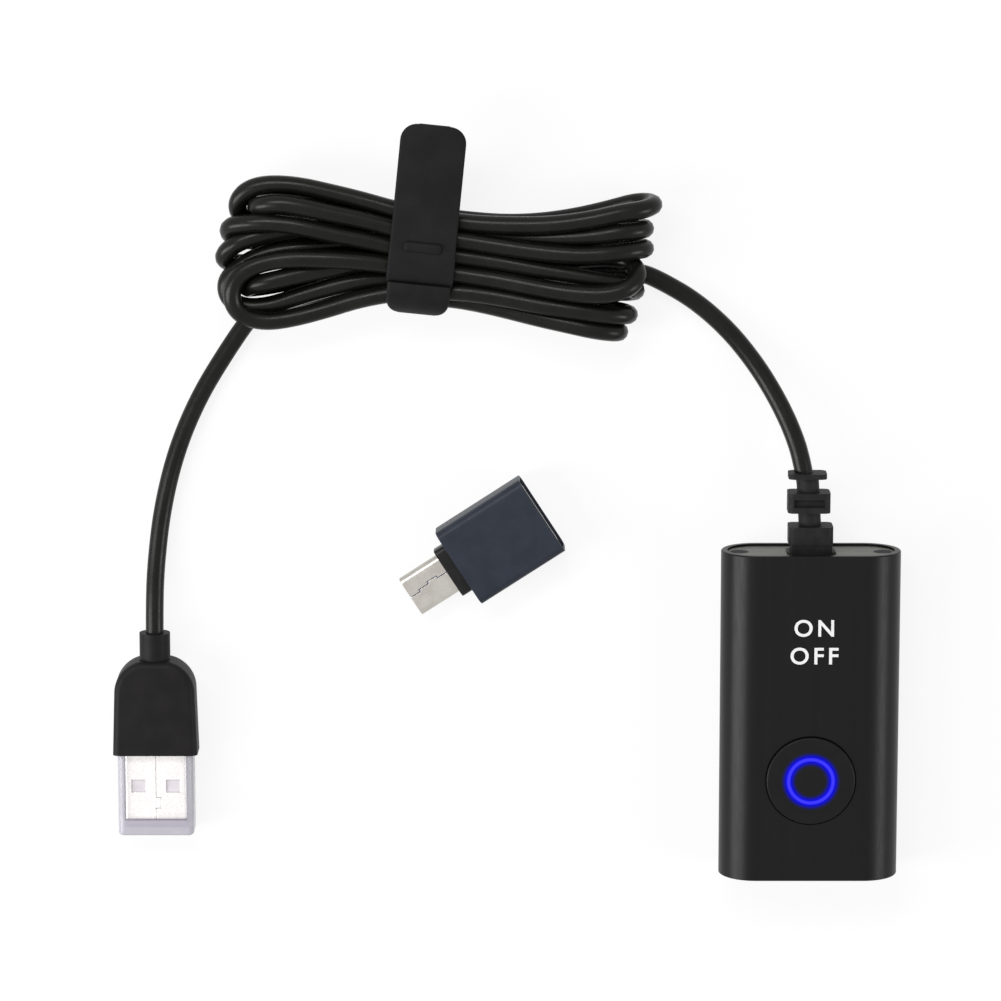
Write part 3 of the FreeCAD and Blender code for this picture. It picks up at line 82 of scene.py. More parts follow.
# The lead's control points in millimetres, from the boot through the strapped hank to the plug.
LEAD_ROUTE = [
    # out of the boot and down to the hank
    (-1.2, 44.8, 7.0), (-2.0, 49.5, 6.9), (-4.0, 55.3, 6.0), (-7.0, 61.3, 4.4), (-10.9, 67.4, 2.8),
    (-16.0, 73.6, 1.9), (-22.4, 79.2, 1.8), (-29.0, 83.0, 1.8), (-32.6, 84.5, 1.8),
    # turn 1, to the left
    (-37.3, 84.8, 1.7), (-43.4, 84.9, 1.7), (-50.5, 85.5, 1.9), (-58.1, 86.7, 2.2), (-65.5, 88.1, 2.7),
    (-72.4, 89.0, 2.9), (-79.0, 90.0, 2.9), (-85.5, 90.8, 2.7), (-91.8, 90.9, 2.2), (-98.0, 90.9, 1.9),
    (-103.3, 90.6, 1.7), (-107.3, 90.6, 2.0), (-110.0, 91.4, 3.3), (-111.0, 92.9, 5.5),
    (-110.0, 94.3, 7.9), (-107.1, 94.9, 9.7),
    # turn 1, to the right
    (-102.7, 95.1, 10.6), (-97.4, 94.5, 10.9), (-91.4, 93.0, 10.6), (-85.3, 91.8, 10.2),
    (-78.9, 90.3, 9.7), (-72.5, 89.2, 9.4), (-66.1, 88.4, 9.4), (-59.3, 87.4, 9.7), (-52.3, 86.1, 10.2),
    (-45.3, 85.0, 10.4), (-39.3, 83.9, 10.3), (-35.2, 83.0, 9.2), (-33.4, 81.7, 6.4),
    (-34.6, 80.9, 3.2),
    # turn 2, to the left
    (-38.2, 80.8, 1.8), (-43.8, 81.4, 1.7), (-50.5, 82.2, 1.9), (-58.0, 83.3, 2.4), (-65.3, 84.7, 2.9),
    (-72.2, 85.7, 3.1), (-78.8, 86.6, 3.0), (-85.4, 87.4, 2.8), (-91.9, 87.5, 2.4), (-98.2, 87.4, 2.0),
    (-103.8, 86.8, 1.7), (-108.3, 86.2, 1.8), (-111.3, 86.7, 3.4), (-111.9, 88.3, 6.3),
    (-109.5, 90.8, 8.2),
    # turn 2, to the right
    (-105.5, 92.2, 8.4), (-100.2, 93.2, 7.8), (-93.8, 93.9, 7.1), (-86.9, 94.5, 6.6),
    (-79.7, 94.4, 6.4), (-72.6, 93.5, 6.5), (-65.3, 92.8, 6.8), (-57.7, 91.9, 7.6), (-49.9, 91.8, 9.1),
    (-42.7, 92.3, 10.3), (-36.9, 93.3, 10.8), (-33.0, 93.5, 9.4), (-31.7, 93.5, 6.1),
    (-33.4, 93.3, 2.9),
    # turn 3, to the left
    (-37.5, 92.6, 1.8), (-43.5, 91.9, 1.7), (-50.6, 91.4, 1.8), (-58.1, 91.3, 2.2), (-65.5, 91.7, 2.7),
    (-72.2, 92.3, 2.9), (-78.7, 93.3, 2.9), (-84.7, 94.3, 2.6), (-90.2, 94.4, 2.2), (-95.2, 94.4, 2.0),
    (-99.8, 94.3, 2.0), (-104.2, 94.4, 2.0), (-107.5, 95.0, 2.8), (-109.1, 96.5, 4.6),
    (-109.0, 98.5, 6.2),
    # turn 3, to the right
    (-107.8, 100.4, 7.1), (-105.3, 101.7, 7.7), (-101.7, 102.1, 8.1), (-96.9, 101.7, 8.3),
    (-91.6, 100.5, 8.3), (-85.8, 99.1, 8.3), (-79.4, 97.3, 8.6), (-72.8, 95.8, 8.9), (-65.9, 94.8, 9.4),
    (-58.3, 94.5, 10.2), (-50.2, 94.6, 10.8), (-42.7, 95.6, 11.2), (-36.5, 97.0, 11.0),
    (-32.3, 97.5, 9.9), (-30.3, 98.0, 7.2), (-30.9, 98.2, 3.9), (-33.9, 98.0, 2.0),
    # turn 4, to the left
    (-38.7, 96.6, 1.8), (-45.1, 95.2, 2.5), (-52.1, 94.3, 3.3), (-59.1, 94.2, 4.0), (-66.0, 94.8, 4.1),
    (-72.5, 95.6, 3.8), (-78.9, 96.7, 3.7), (-85.3, 97.8, 3.2), (-91.4, 98.0, 2.5), (-97.2, 98.2, 1.9),
    (-100.8, 98.1, 1.7), (-104.0, 97.9, 2.1), (-105.5, 97.7, 4.4), (-105.5, 97.9, 7.5),
    (-104.4, 98.3, 9.9),
    # turn 4, to the right
    (-101.3, 98.8, 10.9), (-97.2, 98.2, 11.0), (-91.7, 96.9, 10.6), (-85.5, 95.6, 10.1),
    (-79.1, 93.9, 9.8), (-72.7, 92.5, 9.8), (-66.2, 91.6, 10.0), (-59.3, 90.6, 10.6),
    (-52.1, 89.6, 11.3), (-44.8, 89.0, 11.7), (-38.4, 89.3, 11.6), (-33.9, 89.8, 10.3),
    (-31.8, 89.8, 7.5), (-32.5, 89.6, 4.2), (-35.5, 89.3, 2.2),
    # turn 5, to the left
    (-40.3, 88.7, 1.9), (-46.3, 88.5, 2.7), (-53.0, 88.6, 3.8), (-59.7, 89.3, 4.9), (-66.3, 89.8, 5.6),
    (-72.8, 90.3, 6.0), (-79.5, 90.9, 6.3), (-86.4, 90.9, 6.5), (-93.1, 90.1, 6.5), (-99.3, 89.6, 6.6),
    (-104.5, 88.6, 6.5), (-108.6, 86.4, 6.4), (-111.5, 83.5, 6.0), (-111.0, 79.8, 5.5),
    (-107.6, 78.2, 5.5),
    # turn 5, to the right
    (-102.7, 78.7, 5.9), (-97.6, 80.6, 6.6), (-91.9, 82.3, 7.0), (-85.8, 83.7, 6.9), (-79.2, 84.1, 6.6),
    (-72.7, 83.8, 6.4), (-66.1, 83.2, 6.0), (-59.3, 81.7, 5.3), (-52.4, 79.8, 4.1), (-45.7, 78.5, 2.8),
    (-40.0, 77.6, 2.2), (-36.2, 77.2, 3.3), (-34.7, 77.1, 6.5), (-36.0, 77.3, 9.7),
    # turn 6, to the left
    (-39.7, 77.7, 11.3), (-45.4, 78.6, 11.6), (-52.3, 79.6, 11.1), (-59.3, 80.9, 10.3),
    (-66.1, 81.8, 9.7), (-72.8, 82.0, 9.3), (-79.5, 81.6, 8.8), (-86.2, 80.3, 8.3), (-92.6, 78.2, 7.8),
    (-98.3, 76.7, 7.9), (-103.0, 76.0, 8.3), (-106.7, 76.5, 8.6), (-109.1, 78.0, 9.0),
    (-110.2, 80.6, 9.5), (-109.7, 83.7, 9.9), (-107.6, 86.1, 10.1),
    # turn 6, to the right
    (-103.9, 87.6, 10.5), (-99.0, 88.4, 10.9), (-93.0, 88.3, 11.0), (-86.4, 87.9, 10.6),
    (-79.5, 87.0, 9.8), (-72.8, 85.9, 9.6), (-66.2, 85.1, 9.9), (-59.3, 84.2, 10.8),
    (-52.2, 82.9, 11.9), (-45.1, 81.9, 13.1), (-39.0, 81.8, 13.6), (-34.8, 83.1, 12.9),
    (-33.2, 85.4, 10.5), (-34.8, 87.4, 7.7),
    # turn 7, to the left
    (-39.0, 87.8, 6.4), (-45.1, 87.4, 6.1), (-52.1, 86.5, 6.3), (-59.2, 86.4, 6.6), (-66.1, 86.6, 6.6),
    (-72.6, 87.0, 6.5), (-79.1, 87.5, 6.5), (-85.5, 87.2, 7.0), (-91.5, 86.0, 8.1), (-96.9, 85.2, 9.4),
    (-102.6, 84.0, 10.1), (-106.4, 82.9, 8.3), (-107.7, 82.0, 5.3), (-106.0, 81.7, 2.6),
    # turn 7, to the right
    (-102.0, 82.2, 1.7), (-96.6, 83.5, 1.8), (-90.4, 83.9, 2.1), (-84.7, 83.9, 2.6), (-78.7, 83.3, 3.1),
    (-72.5, 82.4, 3.3), (-66.2, 81.3, 3.3), (-59.6, 79.3, 2.8), (-53.1, 77.1, 2.2), (-46.8, 75.5, 1.8),
    (-41.8, 74.5, 1.7), (-38.1, 73.9, 2.8), (-36.5, 73.7, 5.9), (-37.7, 74.0, 9.1),
    # out of the hank
    (-41.4, 74.6, 10.4), (-46.5, 75.7, 10.1), (-52.9, 77.0, 9.1), (-59.6, 78.6, 7.9),
    (-66.2, 79.9, 7.0), (-72.6, 80.5, 6.2), (-79.1, 80.9, 5.4), (-85.4, 81.1, 4.6), (-91.2, 81.0, 3.8),
    (-96.5, 80.2, 3.1), (-101.5, 78.8, 2.3),
    # down to the plug
    (-106.2, 77.2, 1.9), (-111.6, 69.4, 1.8), (-117.2, 60.2, 1.8), (-121.5, 50.0, 1.8),
    (-124.3, 38.8, 1.8), (-125.6, 28.0, 2.4), (-125.9, 20.5, 3.6), (-125.9, 14.2, 4.1),
]


# -------- node trees


def add_node(tree, kind, inputs=(), **settings):
    """Add a node, set its properties, and fill or join its inputs by number or name."""
    node = tree.nodes.new(kind)
    for name, value in settings.items():
        setattr(node, name, value)
    for socket, value in (inputs.items() if isinstance(inputs, dict) else enumerate(inputs)):
        if isinstance(value, bpy.types.NodeSocket):
            tree.links.new(value, node.inputs[socket])
        elif value is not None:
            node.inputs[socket].default_value = value
    return node


def maths(tree, operation, *values):
    """The result of a Math node on these values."""
    return add_node(tree, "ShaderNodeMath", values, operation=operation).outputs[0]


def opaque(colour):
    """A colour with its fourth number."""
    return (*colour, 1.0)


class Finish:
    """A material under construction, with the node groups that every finish here shares."""

    def __init__(self, name, colour, roughness, **sockets):
        self.material = bpy.data.materials.new(name)
        self.material.use_nodes = True
        self.tree = self.material.node_tree
        self.shader = self.tree.nodes["Principled BSDF"]
        self.shader.inputs["Base Color"].default_value = opaque(colour)
        self.shader.inputs["Roughness"].default_value = roughness
        for socket, value in sockets.items():
            self.shader.inputs[socket.replace("_", " ")].default_value = value
        self.place = self.add("ShaderNodeTexCoord").outputs["Object"]

    def add(self, kind, inputs=(), **settings):
        """A node of this material's own tree."""
        return add_node(self.tree, kind, inputs, **settings)

    def join(self, socket, value):
        """Lead a node's output into a socket of the shader."""
        self.tree.links.new(value, self.shader.inputs[socket])

    def stretched(self, stretch):
        """The piece's own coordinates, with a pattern drawn out along the axes below 1."""
        return self.add("ShaderNodeMapping", {"Vector": self.place, "Scale": stretch}).outputs[0]

    def noise(self, size, stretch=(1.0, 1.0, 1.0), detail=3.0):
        """Cloudy noise with cells of this size in metres."""
        inputs = {"Vector": self.stretched(stretch), "Scale": 1.0 / size, "Detail": detail}
        return self.add("ShaderNodeTexNoise", inputs).outputs[0]

    def between(self, factor, low, high, start=0.3, end=0.7):
        """A number that goes from low to high as factor goes from start to end."""
        inputs = {"Value": factor, "From Min": start, "From Max": end, "To Min": low, "To Max": high}
        return self.add("ShaderNodeMapRange", inputs, interpolation_type="SMOOTHSTEP").outputs[0]

    def blend(self, factor, low, high):
        """A colour between low and high."""
        first, second = (value if isinstance(value, bpy.types.NodeSocket) else opaque(value)
                         for value in (low, high))
        inputs = {0: factor, 6: first, 7: second}
        return self.add("ShaderNodeMix", inputs, data_type="RGBA").outputs[2]

    def relief(self, height, depth):
        """A bump of this depth in metres."""
        bump = self.add("ShaderNodeBump", {"Strength": 1.0, "Distance": depth, "Height": height})
        self.join("Normal", bump.outputs[0])

    def along(self, axis):
        """One coordinate of the piece in metres: 0 for X, 1 for Y and 2 for Z."""
        return self.add("ShaderNodeSeparateXYZ", [self.place]).outputs[axis]

    def maths(self, operation, *values):
        return maths(self.tree, operation, *values)


def grained(name, low, high, roughness, size=0.0002, depth=0.000004, stretch=(1.0, 1.0, 1.0),
            cloud=0.004, **sockets):
    """A finish whose colour drifts in broad clouds and whose gloss and relief follow a fine grain."""
    finish = Finish(name, low, roughness, **sockets)
    grain = finish.noise(size, stretch, 4.0)
    tone = finish.between(finish.noise(cloud, stretch), 0.0, 1.0)
    finish.join("Base Color", finish.blend(tone, low, high))
    finish.join("Roughness", finish.between(grain, roughness - 0.04, roughness + 0.06))
    finish.relief(grain, depth)
    return finish


# -------- meshes


def metres(point):
    """A point given in millimetres, as a vector in metres."""
    return Vector(point) * MM


def linked(name, data):
    """A new object with this data, in the scene."""
    piece = bpy.data.objects.new(name, data)
    bpy.context.scene.collection.objects.link(piece)
    return piece


def settled(piece):
    """Turn a piece's curve or modifiers into its plain mesh."""
    bpy.context.view_layer.update()
    graph = bpy.context.evaluated_depsgraph_get()
    mesh = bpy.data.meshes.new_from_object(piece.evaluated_get(graph), depsgraph=graph)
    name = piece.name
    bpy.data.objects.remove(piece)
    mesh.name = name
    return linked(name, mesh)


def dressed(piece, material, *nodes):
    """Give a finished piece its material, and let it ride and stand for the CAD nodes it replaces."""
    piece.data.materials.clear()
    piece.data.materials.append(material)
    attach(piece, body_of(frame["nodes"][nodes[0]])[0])
    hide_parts(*nodes)
    return piece


def softened(name, node, width, material, angle=32.0):
    """A piece in the shape of a CAD node, its facets joined and its sharp edges rounded to width."""
    source = frame["nodes"][node].data
    mesh = bpy.data.meshes.new(name)
    mesh.from_pydata([vertex.co for vertex in source.vertices], [],
                     [polygon.vertices[:] for polygon in source.polygons])
    shape = bmesh.new()
    shape.from_mesh(mesh)
    bmesh.ops.remove_doubles(shape, verts=shape.verts, dist=1e-6)
    bmesh.ops.dissolve_limit(shape, angle_limit=math.radians(0.4), verts=shape.verts, edges=shape.edges)
    shape.to_mesh(mesh)
    shape.free()
    mesh.shade_smooth()
    piece = linked(name, mesh)
    bevel = piece.modifiers.new("soft_edges", "BEVEL")
    bevel.width = width
    bevel.segments = 3
    bevel.limit_method = "ANGLE"
    bevel.angle_limit = math.radians(angle)
    bevel.harden_normals = True
    return dressed(settled(piece), material, node)


def lofted(name, rings):
    """A closed skin over rings of as many points each, in metres, with a face on both ends."""
    shape = bmesh.new()
    rows = [[shape.verts.new(point) for point in ring] for ring in rings]
    count = len(rows[0])
    for lower, upper in zip(rows, rows[1:]):
        for index in range(count):
            following = (index + 1) % count
            shape.faces.new((lower[index], lower[following], upper[following], upper[index]))
    shape.faces.new(rows[0][::-1])
    shape.faces.new(rows[-1])
    bmesh.ops.recalc_face_normals(shape, faces=shape.faces)
    mesh = bpy.data.meshes.new(name)
    shape.to_mesh(mesh)
    shape.free()
    mesh.shade_smooth()
    mesh.set_sharp_from_angle(angle=math.radians(40))
    return linked(name, mesh)


def oblong(width, height, corner, steps=5):
    """Points of a rounded rectangle about the origin, anticlockwise."""
    corner = min(corner, width / 2 - 1e-6, height / 2 - 1e-6)
    points = []
    for quarter, (across, up) in enumerate(((1, 1), (-1, 1), (-1, -1), (1, -1))):
        for step in range(steps + 1):
            angle = math.pi / 2 * (quarter + step / steps)
            points.append((across * (width / 2 - corner) + corner * math.cos(angle),
                           up * (height / 2 - corner) + corner * math.sin(angle)))
    return points


# -------- the piece's own values


class CaseLook(bpy.types.PropertyGroup):
    """The case and its label."""

    black: bpy.props.FloatVectorProperty(
        name="Anodising", description="Colour of the black anodised tube",
        default=(0.0035, 0.0035, 0.0034), subtype="COLOR", min=0.0, max=1.0)
    gloss: bpy.props.FloatProperty(
        name="Roughness", description="Of the brushed tube", default=0.36, min=0.0, max=1.0)
    edge: bpy.props.FloatProperty(
        name="Edge", description="Rounding of the tube's rim", default=0.00008, unit="LENGTH")
    plate: bpy.props.FloatVectorProperty(
        name="End plates", description="Colour of the plates", default=(0.085, 0.085, 0.074),
        subtype="COLOR", min=0.0, max=1.0)
    letter_height: bpy.props.FloatProperty(
        name="Letter height", description="Of the printed ON and OFF", default=0.0033, unit="LENGTH")
    ink: bpy.props.FloatVectorProperty(
        name="Ink", description="Colour of the printed letters", default=(0.76, 0.76, 0.76),
        subtype="COLOR", min=0.0, max=1.0)


class ButtonLook(bpy.types.PropertyGroup):
    """The push button and its ring of light."""

    black: bpy.props.FloatVectorProperty(
        name="Plastic", description="Colour of the cap and the middle",
        default=(0.0045, 0.0045, 0.0045), subtype="COLOR", min=0.0, max=1.0)
    light: bpy.props.FloatVectorProperty(
        name="Light", description="Colour of the lit ring", default=(0.042, 0.032, 0.95),
        subtype="COLOR", min=0.0, max=1.0)
    # Strength of the painted glow, an emission in the black plastic beside the ring.
    glow: bpy.props.FloatProperty(
        name="Glow", description="How strongly light shows in the plastic beside the ring",
        default=1.0, min=0.0, max=2.0)
    ring_radius: bpy.props.FloatProperty(
        name="Ring radius", description="Middle of the lit ring", default=0.00425, unit="LENGTH")


class LeadLook(bpy.types.PropertyGroup):
    """The USB lead and its boot."""

    diameter: bpy.props.FloatProperty(
        name="Diameter", description="Outside of the jacket", default=0.0035, unit="LENGTH")
    length: bpy.props.FloatProperty(
        name="Length", description="From the boot to the plug along the lead", default=1.3395,
        unit="LENGTH")
    gloss: bpy.props.FloatProperty(
        name="Roughness", description="Of the jacket", default=0.28, min=0.0, max=1.0)
    black: bpy.props.FloatVectorProperty(
        name="Jacket", description="Colour of the jacket", default=(0.0042, 0.0042, 0.0036),
        subtype="COLOR", min=0.0, max=1.0)


class StrapLook(bpy.types.PropertyGroup):
    """The silicone strap round the hank."""

    width: bpy.props.FloatProperty(
        name="Width", description="Of the strap's free end", default=0.0124, unit="LENGTH")
    thickness: bpy.props.FloatProperty(
        name="Thickness", description="Of the strap", default=0.0012, unit="LENGTH")
    reach: bpy.props.FloatProperty(
        name="Reach", description="From the middle of the hank to the free end", default=0.0246,
        unit="LENGTH")
    slant: bpy.props.FloatProperty(
        name="Slant", description="Turn of the strap from straight across",
        default=math.radians(-5.8), subtype="ANGLE")


class PlugLook(bpy.types.PropertyGroup):
    """The USB-A plug and its cap."""

    grip: bpy.props.FloatVectorProperty(
        name="Grip", description="Colour of the moulded grip", default=(0.0085, 0.0078, 0.0078),
        subtype="COLOR", min=0.0, max=1.0)
    nickel: bpy.props.FloatVectorProperty(
        name="Shell", description="Colour of the plated shell", default=(0.97, 0.945, 0.925),
        subtype="COLOR", min=0.0, max=1.0)
    clear: bpy.props.FloatVectorProperty(
        name="Cap", description="Colour of the see-through cap", default=(0.43, 0.41, 0.475),
        subtype="COLOR", min=0.0, max=1.0)
    cover: bpy.props.FloatProperty(
        name="Cap cover", description="How much of what is below the cap's plastic hides",
        default=0.62, min=0.0, max=1.0)


class AdapterLook(bpy.types.PropertyGroup):
    """The loose C to A adapter."""

    sleeve: bpy.props.FloatVectorProperty(
        name="Sleeve", description="Colour of the anodised sleeve", default=(0.021, 0.025, 0.035),
        subtype="COLOR", min=0.0, max=1.0)
    lining: bpy.props.FloatVectorProperty(
        name="Lining", description="Colour of the C plug's plastic", default=(0.020, 0.045, 0.26),
        subtype="COLOR", min=0.0, max=1.0)


class StageLook(bpy.types.PropertyGroup):
    """Camera, light and floor."""

    focal_length: bpy.props.FloatProperty(
        name="Focal length", description="Lens of the camera", default=168.31, unit="CAMERA")
    distance: bpy.props.FloatProperty(
        name="Distance", description="From the camera to the middle of the view", default=0.9,
        unit="LENGTH")
    tilt: bpy.props.FloatProperty(
        name="Tilt", description="How far the camera leans from straight down",
        default=math.radians(10.5), subtype="ANGLE")
    centre: bpy.props.FloatVectorProperty(
        name="Centre", description="Point of the floor in the middle of the view",
        default=(-0.05936378, 0.04003605, 0.0), subtype="XYZ")
    surround: bpy.props.FloatProperty(
        name="Surround", description="Grey level of the light from all round", default=0.3,
        min=0.0, max=1.0)
    key_power: bpy.props.FloatProperty(
        name="Key light", description="Power of the large soft light", default=5.0, unit="POWER")
    side_power: bpy.props.FloatProperty(
        name="Side lights", description="Power of the left strip light", default=5.6, unit="POWER")


# -------- case


def brushed(name, low, high, roughness, along=(1.0, 0.03, 1.0), **sockets):
    """Metal with fine lines drawn along one axis."""
    return grained(name, low, high, roughness, size=0.00012, depth=0.0000022, stretch=along,
                   cloud=0.0022, **sockets)


def paler(colour, share):
    """A colour made lighter by a share of itself."""
    return [min(1.0, value * (1.0 + share)) for value in colour]


def finish_nodes(material, *nodes):
    """Give CAD nodes that are shown as they are a better finish."""
    for node in nodes:
        slots = frame["nodes"][node].material_slots
        if not slots:
            raise RuntimeError(f"{node} has no material slot")
        for held in slots:
            held.material = material


class JIGGLER_OT_case(bpy.types.Operator):
    """Finish the anodised tube, its two end plates and their screws"""

    bl_idname = "jiggler.case"
    bl_label = "Case"

    def execute(self, context):
        look = context.scene.jiggler_case
        tube = brushed("black_anodised", look.black, paler(look.black, 0.35), look.gloss,
                       Specular_IOR_Level=0.15)
        softened("case_tube", "housing_tube", look.edge, tube.material)
        plate = brushed("plate_grey", look.plate, paler(look.plate, 0.25), 0.42, along=(0.03, 1.0, 1.0),
                        Metallic=0.35, Specular_IOR_Level=0.25)
        softened("plate_cable_end", "cable_end_plate", look.edge, plate.material)
        softened("plate_blind_end", "blind_end_plate", look.edge, plate.material)
        screw = grained("black_screw", (0.006, 0.006, 0.006), (0.012, 0.012, 0.012), 0.4,
                        size=0.0003, cloud=0.0012, Specular_IOR_Level=0.02)
        softened("screws_cable_end", "cable_end_screws", look.edge / 2, screw.material)
        softened("screws_blind_end", "blind_end_screws", look.edge / 2, screw.material)
        return {"FINISHED"}


LABEL_LINES = (("label_on", "ON", 0.01635), ("label_off", "OFF", 0.01095))
LABEL_X = 0.0004
CAPITALS_SHARE = 0.73  # height of the font's capitals in its size
INK_THICKNESS = 0.000015


class JIGGLER_OT_label(bpy.types.Operator):
    """Print ON and OFF on the case's face, above the button"""

    bl_idname = "jiggler.label"
    bl_label = "Label"

    def execute(self, context):
        look = context.scene.jiggler_case
        ink = grained("label_ink", look.ink, paler(look.ink, -0.06), 0.5, size=0.00015, depth=0.000002,
                      cloud=0.0015)
        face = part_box("housing_tube")[1].z
        for name, word, line_y in LABEL_LINES:
            letters = bpy.data.curves.new(name, "FONT")
            letters.body = word
            letters.align_x = "CENTER"
            letters.size = look.letter_height / CAPITALS_SHARE
            letters.space_character = 1.3
            letters.offset = 0.00007
            letters.extrude = INK_THICKNESS
            print_on = settled(linked(name, letters))
            print_on.data.transform(Matrix.Translation((LABEL_X, line_y, face + 0.000012)))
            print_on.data.materials.clear()
            print_on.data.materials.append(ink.material)
            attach(print_on, "root")
        return {"FINISHED"}


# -------- button


def off_ring(look, finish):
    """How far a point lies from the middle line of the light ring."""
    lowest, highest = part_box("light_ring")
    middle = (lowest + highest) / 2
    beside = finish.maths("SUBTRACT", finish.along(0), middle.x)
    before = finish.maths("SUBTRACT", finish.along(1), middle.y)
    squares = [finish.maths("MULTIPLY", part, part) for part in (beside, before)]
    away = finish.maths("SQRT", finish.maths("ADD", *squares))
    return finish.maths("ABSOLUTE", finish.maths("SUBTRACT", away, look.ring_radius))


def plastic_with_painted_glow(look, name):
    """Black plastic with a painted blue glow: an emission that fades away from the ring, standing in
    for the ring's light falling on the plastic close to it; its reflection is also turned down close to
    the ring.
    """
    finish = grained(name, look.black, paler(look.black, 0.3), 0.42, size=0.00012, depth=0.000003,
                     cloud=0.003, Specular_IOR_Level=0.13)
    step = off_ring(look, finish)
    # Painted glow: emission strongest at the ring and gone about 1.8 mm from its middle line.
    fade = finish.between(step, 1.0, 0.0, start=0.0002, end=0.00177)
    painted_glow_strength = finish.maths("MULTIPLY", fade, fade)
    finish.join("Emission Strength", finish.maths("MULTIPLY", painted_glow_strength, look.glow))
    finish.join("Specular IOR Level", finish.between(step, 0.0, 0.13, start=0.0003, end=0.0016))
    # Colour of the painted glow, the blue that the ring's light gives the plastic beside it.
    finish.shader.inputs["Emission Color"].default_value = (0.0, 0.0, 0.75, 1.0)
    return finish.material


class JIGGLER_OT_button(bpy.types.Operator):
    """Make the push button: cap, lit ring and middle"""

    bl_idname = "jiggler.button"
    bl_label = "Button"

    def execute(self, context):
        look = context.scene.jiggler_button
        plastic = plastic_with_painted_glow(look, "button_black")
        # The cap and the middle carry the painted glow around the ring.
        softened("button_rim", "button_cap", 0.00022, plastic)
        softened("button_middle", "button_centre", 0.0001, plastic)
        ring = grained("ring_blue", (0.01, 0.01, 0.05), (0.012, 0.012, 0.06), 0.3, size=0.0002,
                       cloud=0.0008, Emission_Strength=1.0, Specular_IOR_Level=0.02)
        core = ring.between(off_ring(look, ring), 1.0, 0.0, start=0.00012, end=0.00042)
        ring.join("Emission Color", ring.blend(core, (0.0, 0.0, 0.80), look.light))
        softened("button_ring", "light_ring", 0.00005, ring.material)
        return {"FINISHED"}


# -------- strain relief and lead


class JIGGLER_OT_boot(bpy.types.Operator):
    """Make the segmented boot where the lead leaves the case"""

    bl_idname = "jiggler.boot"
    bl_label = "Strain relief"

    def execute(self, context):
        rubber = grained("boot_black", (0.0115, 0.0115, 0.0120), (0.0165, 0.0165, 0.0170), 0.55,
                         depth=0.000012, cloud=0.002, Specular_IOR_Level=0.1)
        softened("boot", "strain_relief", 0.00028, rubber.material)
        return {"FINISHED"}


class JIGGLER_OT_lead(bpy.types.Operator):
    """Lay the USB lead: one smooth spline out of the boot, through the hank and into the plug"""

    bl_idname = "jiggler.lead"
    bl_label = "Lead"

    def execute(self, context):
        look = context.scene.jiggler_lead
        curve = bpy.data.curves.new("lead", "CURVE")
        curve.dimensions = "3D"
        spline = curve.splines.new("NURBS")
        spline.points.add(len(LEAD_ROUTE) - 1)
        for knot, place in zip(spline.points, LEAD_ROUTE):
            knot.co = (*metres(place), 1.0)
        spline.order_u = 3
        spline.use_endpoint_u = True
        spline.resolution_u = 8
        curve.bevel_depth = look.diameter / 2
        curve.bevel_resolution = 4
        curve.use_fill_caps = True
        lead = linked("lead", curve)
        jacket = grained("lead_black", look.black, paler(look.black, 0.6), look.gloss, size=0.0012,
                         depth=0.000001, cloud=0.006, Specular_IOR_Level=0.15)
        dressed(lead, jacket.material, "cord_near", "cord_hank", "cord_far")
        finish_nodes(jacket.material, "cable_jacket_end")
        return {"FINISHED"}


# -------- strap


STRAP_MIDDLE = Vector((-0.0741, 0.0892, 0.0))
LOOP_LEVEL = 0.00635
LOOP_RADIUS = 0.00515
LOOP_WIDTH = 0.0218
HEAD_ALONG = -0.0048
# How the strap's lower end is drawn in: where along it that starts, over what length, and how far.
ROUND_START, ROUND_LENGTH, ROUND_SHARE = 0.0084, 0.0034, 0.36
# Sections of the free end: place along it, drop below its top, extra width, and lean in degrees.
TAIL_SECTIONS = (
    (-0.0056, 0.0019, -0.0002, 55), (-0.0051, 0.0011, 0.0001, 42), (-0.0044, 0.0005, 0.0003, 25),
    (-0.0034, 0.00015, 0.0003, 10), (-0.0014, 0.0, 0.00025, 0), (0.0020, 0.0, 0.0001, 0),
    (0.0080, 0.0, 0.0, 0), (0.0200, 0.0, 0.0, 0),
)
TAIL_CORNER = 0.0031
NUB_LENGTH, NUB_WIDTH, NUB_CORNER, NUB_ALONG = 0.0071, 0.0019, 0.0005, 0.0016
# Sections of the nub: how far its outline draws in, and the height over the strap's top.
NUB_SECTIONS = ((0.0, -0.0001), (0.0, 0.00025), (0.0001, 0.00045), (0.0003, 0.0006), (0.00065, 0.00066))


def strap_place(look, across, along, level):
    """A point in metres, from its place across and along the strap, from the hank's middle, and up."""
    turn = Matrix.Rotation(look.slant, 3, "Z")
    return STRAP_MIDDLE + turn @ Vector((across, along, level))


def geometry_tree(name, **sizes):
    """A Geometry Nodes tree with a named input for each size, its place and turn, and its material."""
    tree = bpy.data.node_groups.new(name, "GeometryNodeTree")
    kinds = {float: "NodeSocketFloat", int: "NodeSocketInt", tuple: "NodeSocketVector"}
    sizes.update(place=(0.0, 0.0, 0.0), turn=(0.0, 0.0, 0.0))
    for label, value in sizes.items():
        socket = tree.interface.new_socket(label, in_out="INPUT", socket_type=kinds[type(value)])
        socket.default_value = value
    tree.interface.new_socket("material", in_out="INPUT", socket_type="NodeSocketMaterial")
    tree.interface.new_socket("Geometry", in_out="OUTPUT", socket_type="NodeSocketGeometry")
    return tree, tree.nodes.new("NodeGroupInput")


def finished_tree(tree, given, geometry):
    """End a tree: put its geometry in place, make copies real and give them their material."""
    placed = add_node(tree, "GeometryNodeTransform",
                      {"Geometry": geometry, "Translation": given.outputs["place"],
                       "Rotation": given.outputs["turn"]})
    whole = add_node(tree, "GeometryNodeRealizeInstances", [placed.outputs[0]])
    smooth = add_node(tree, "GeometryNodeSetShadeSmooth", [whole.outputs[0]])
    coloured = add_node(tree, "GeometryNodeSetMaterial",
                        {"Geometry": smooth.outputs[0], "Material": given.outputs["material"]})
    end = tree.nodes.new("NodeGroupOutput")
    tree.links.new(coloured.outputs[0], end.inputs[0])
    return tree


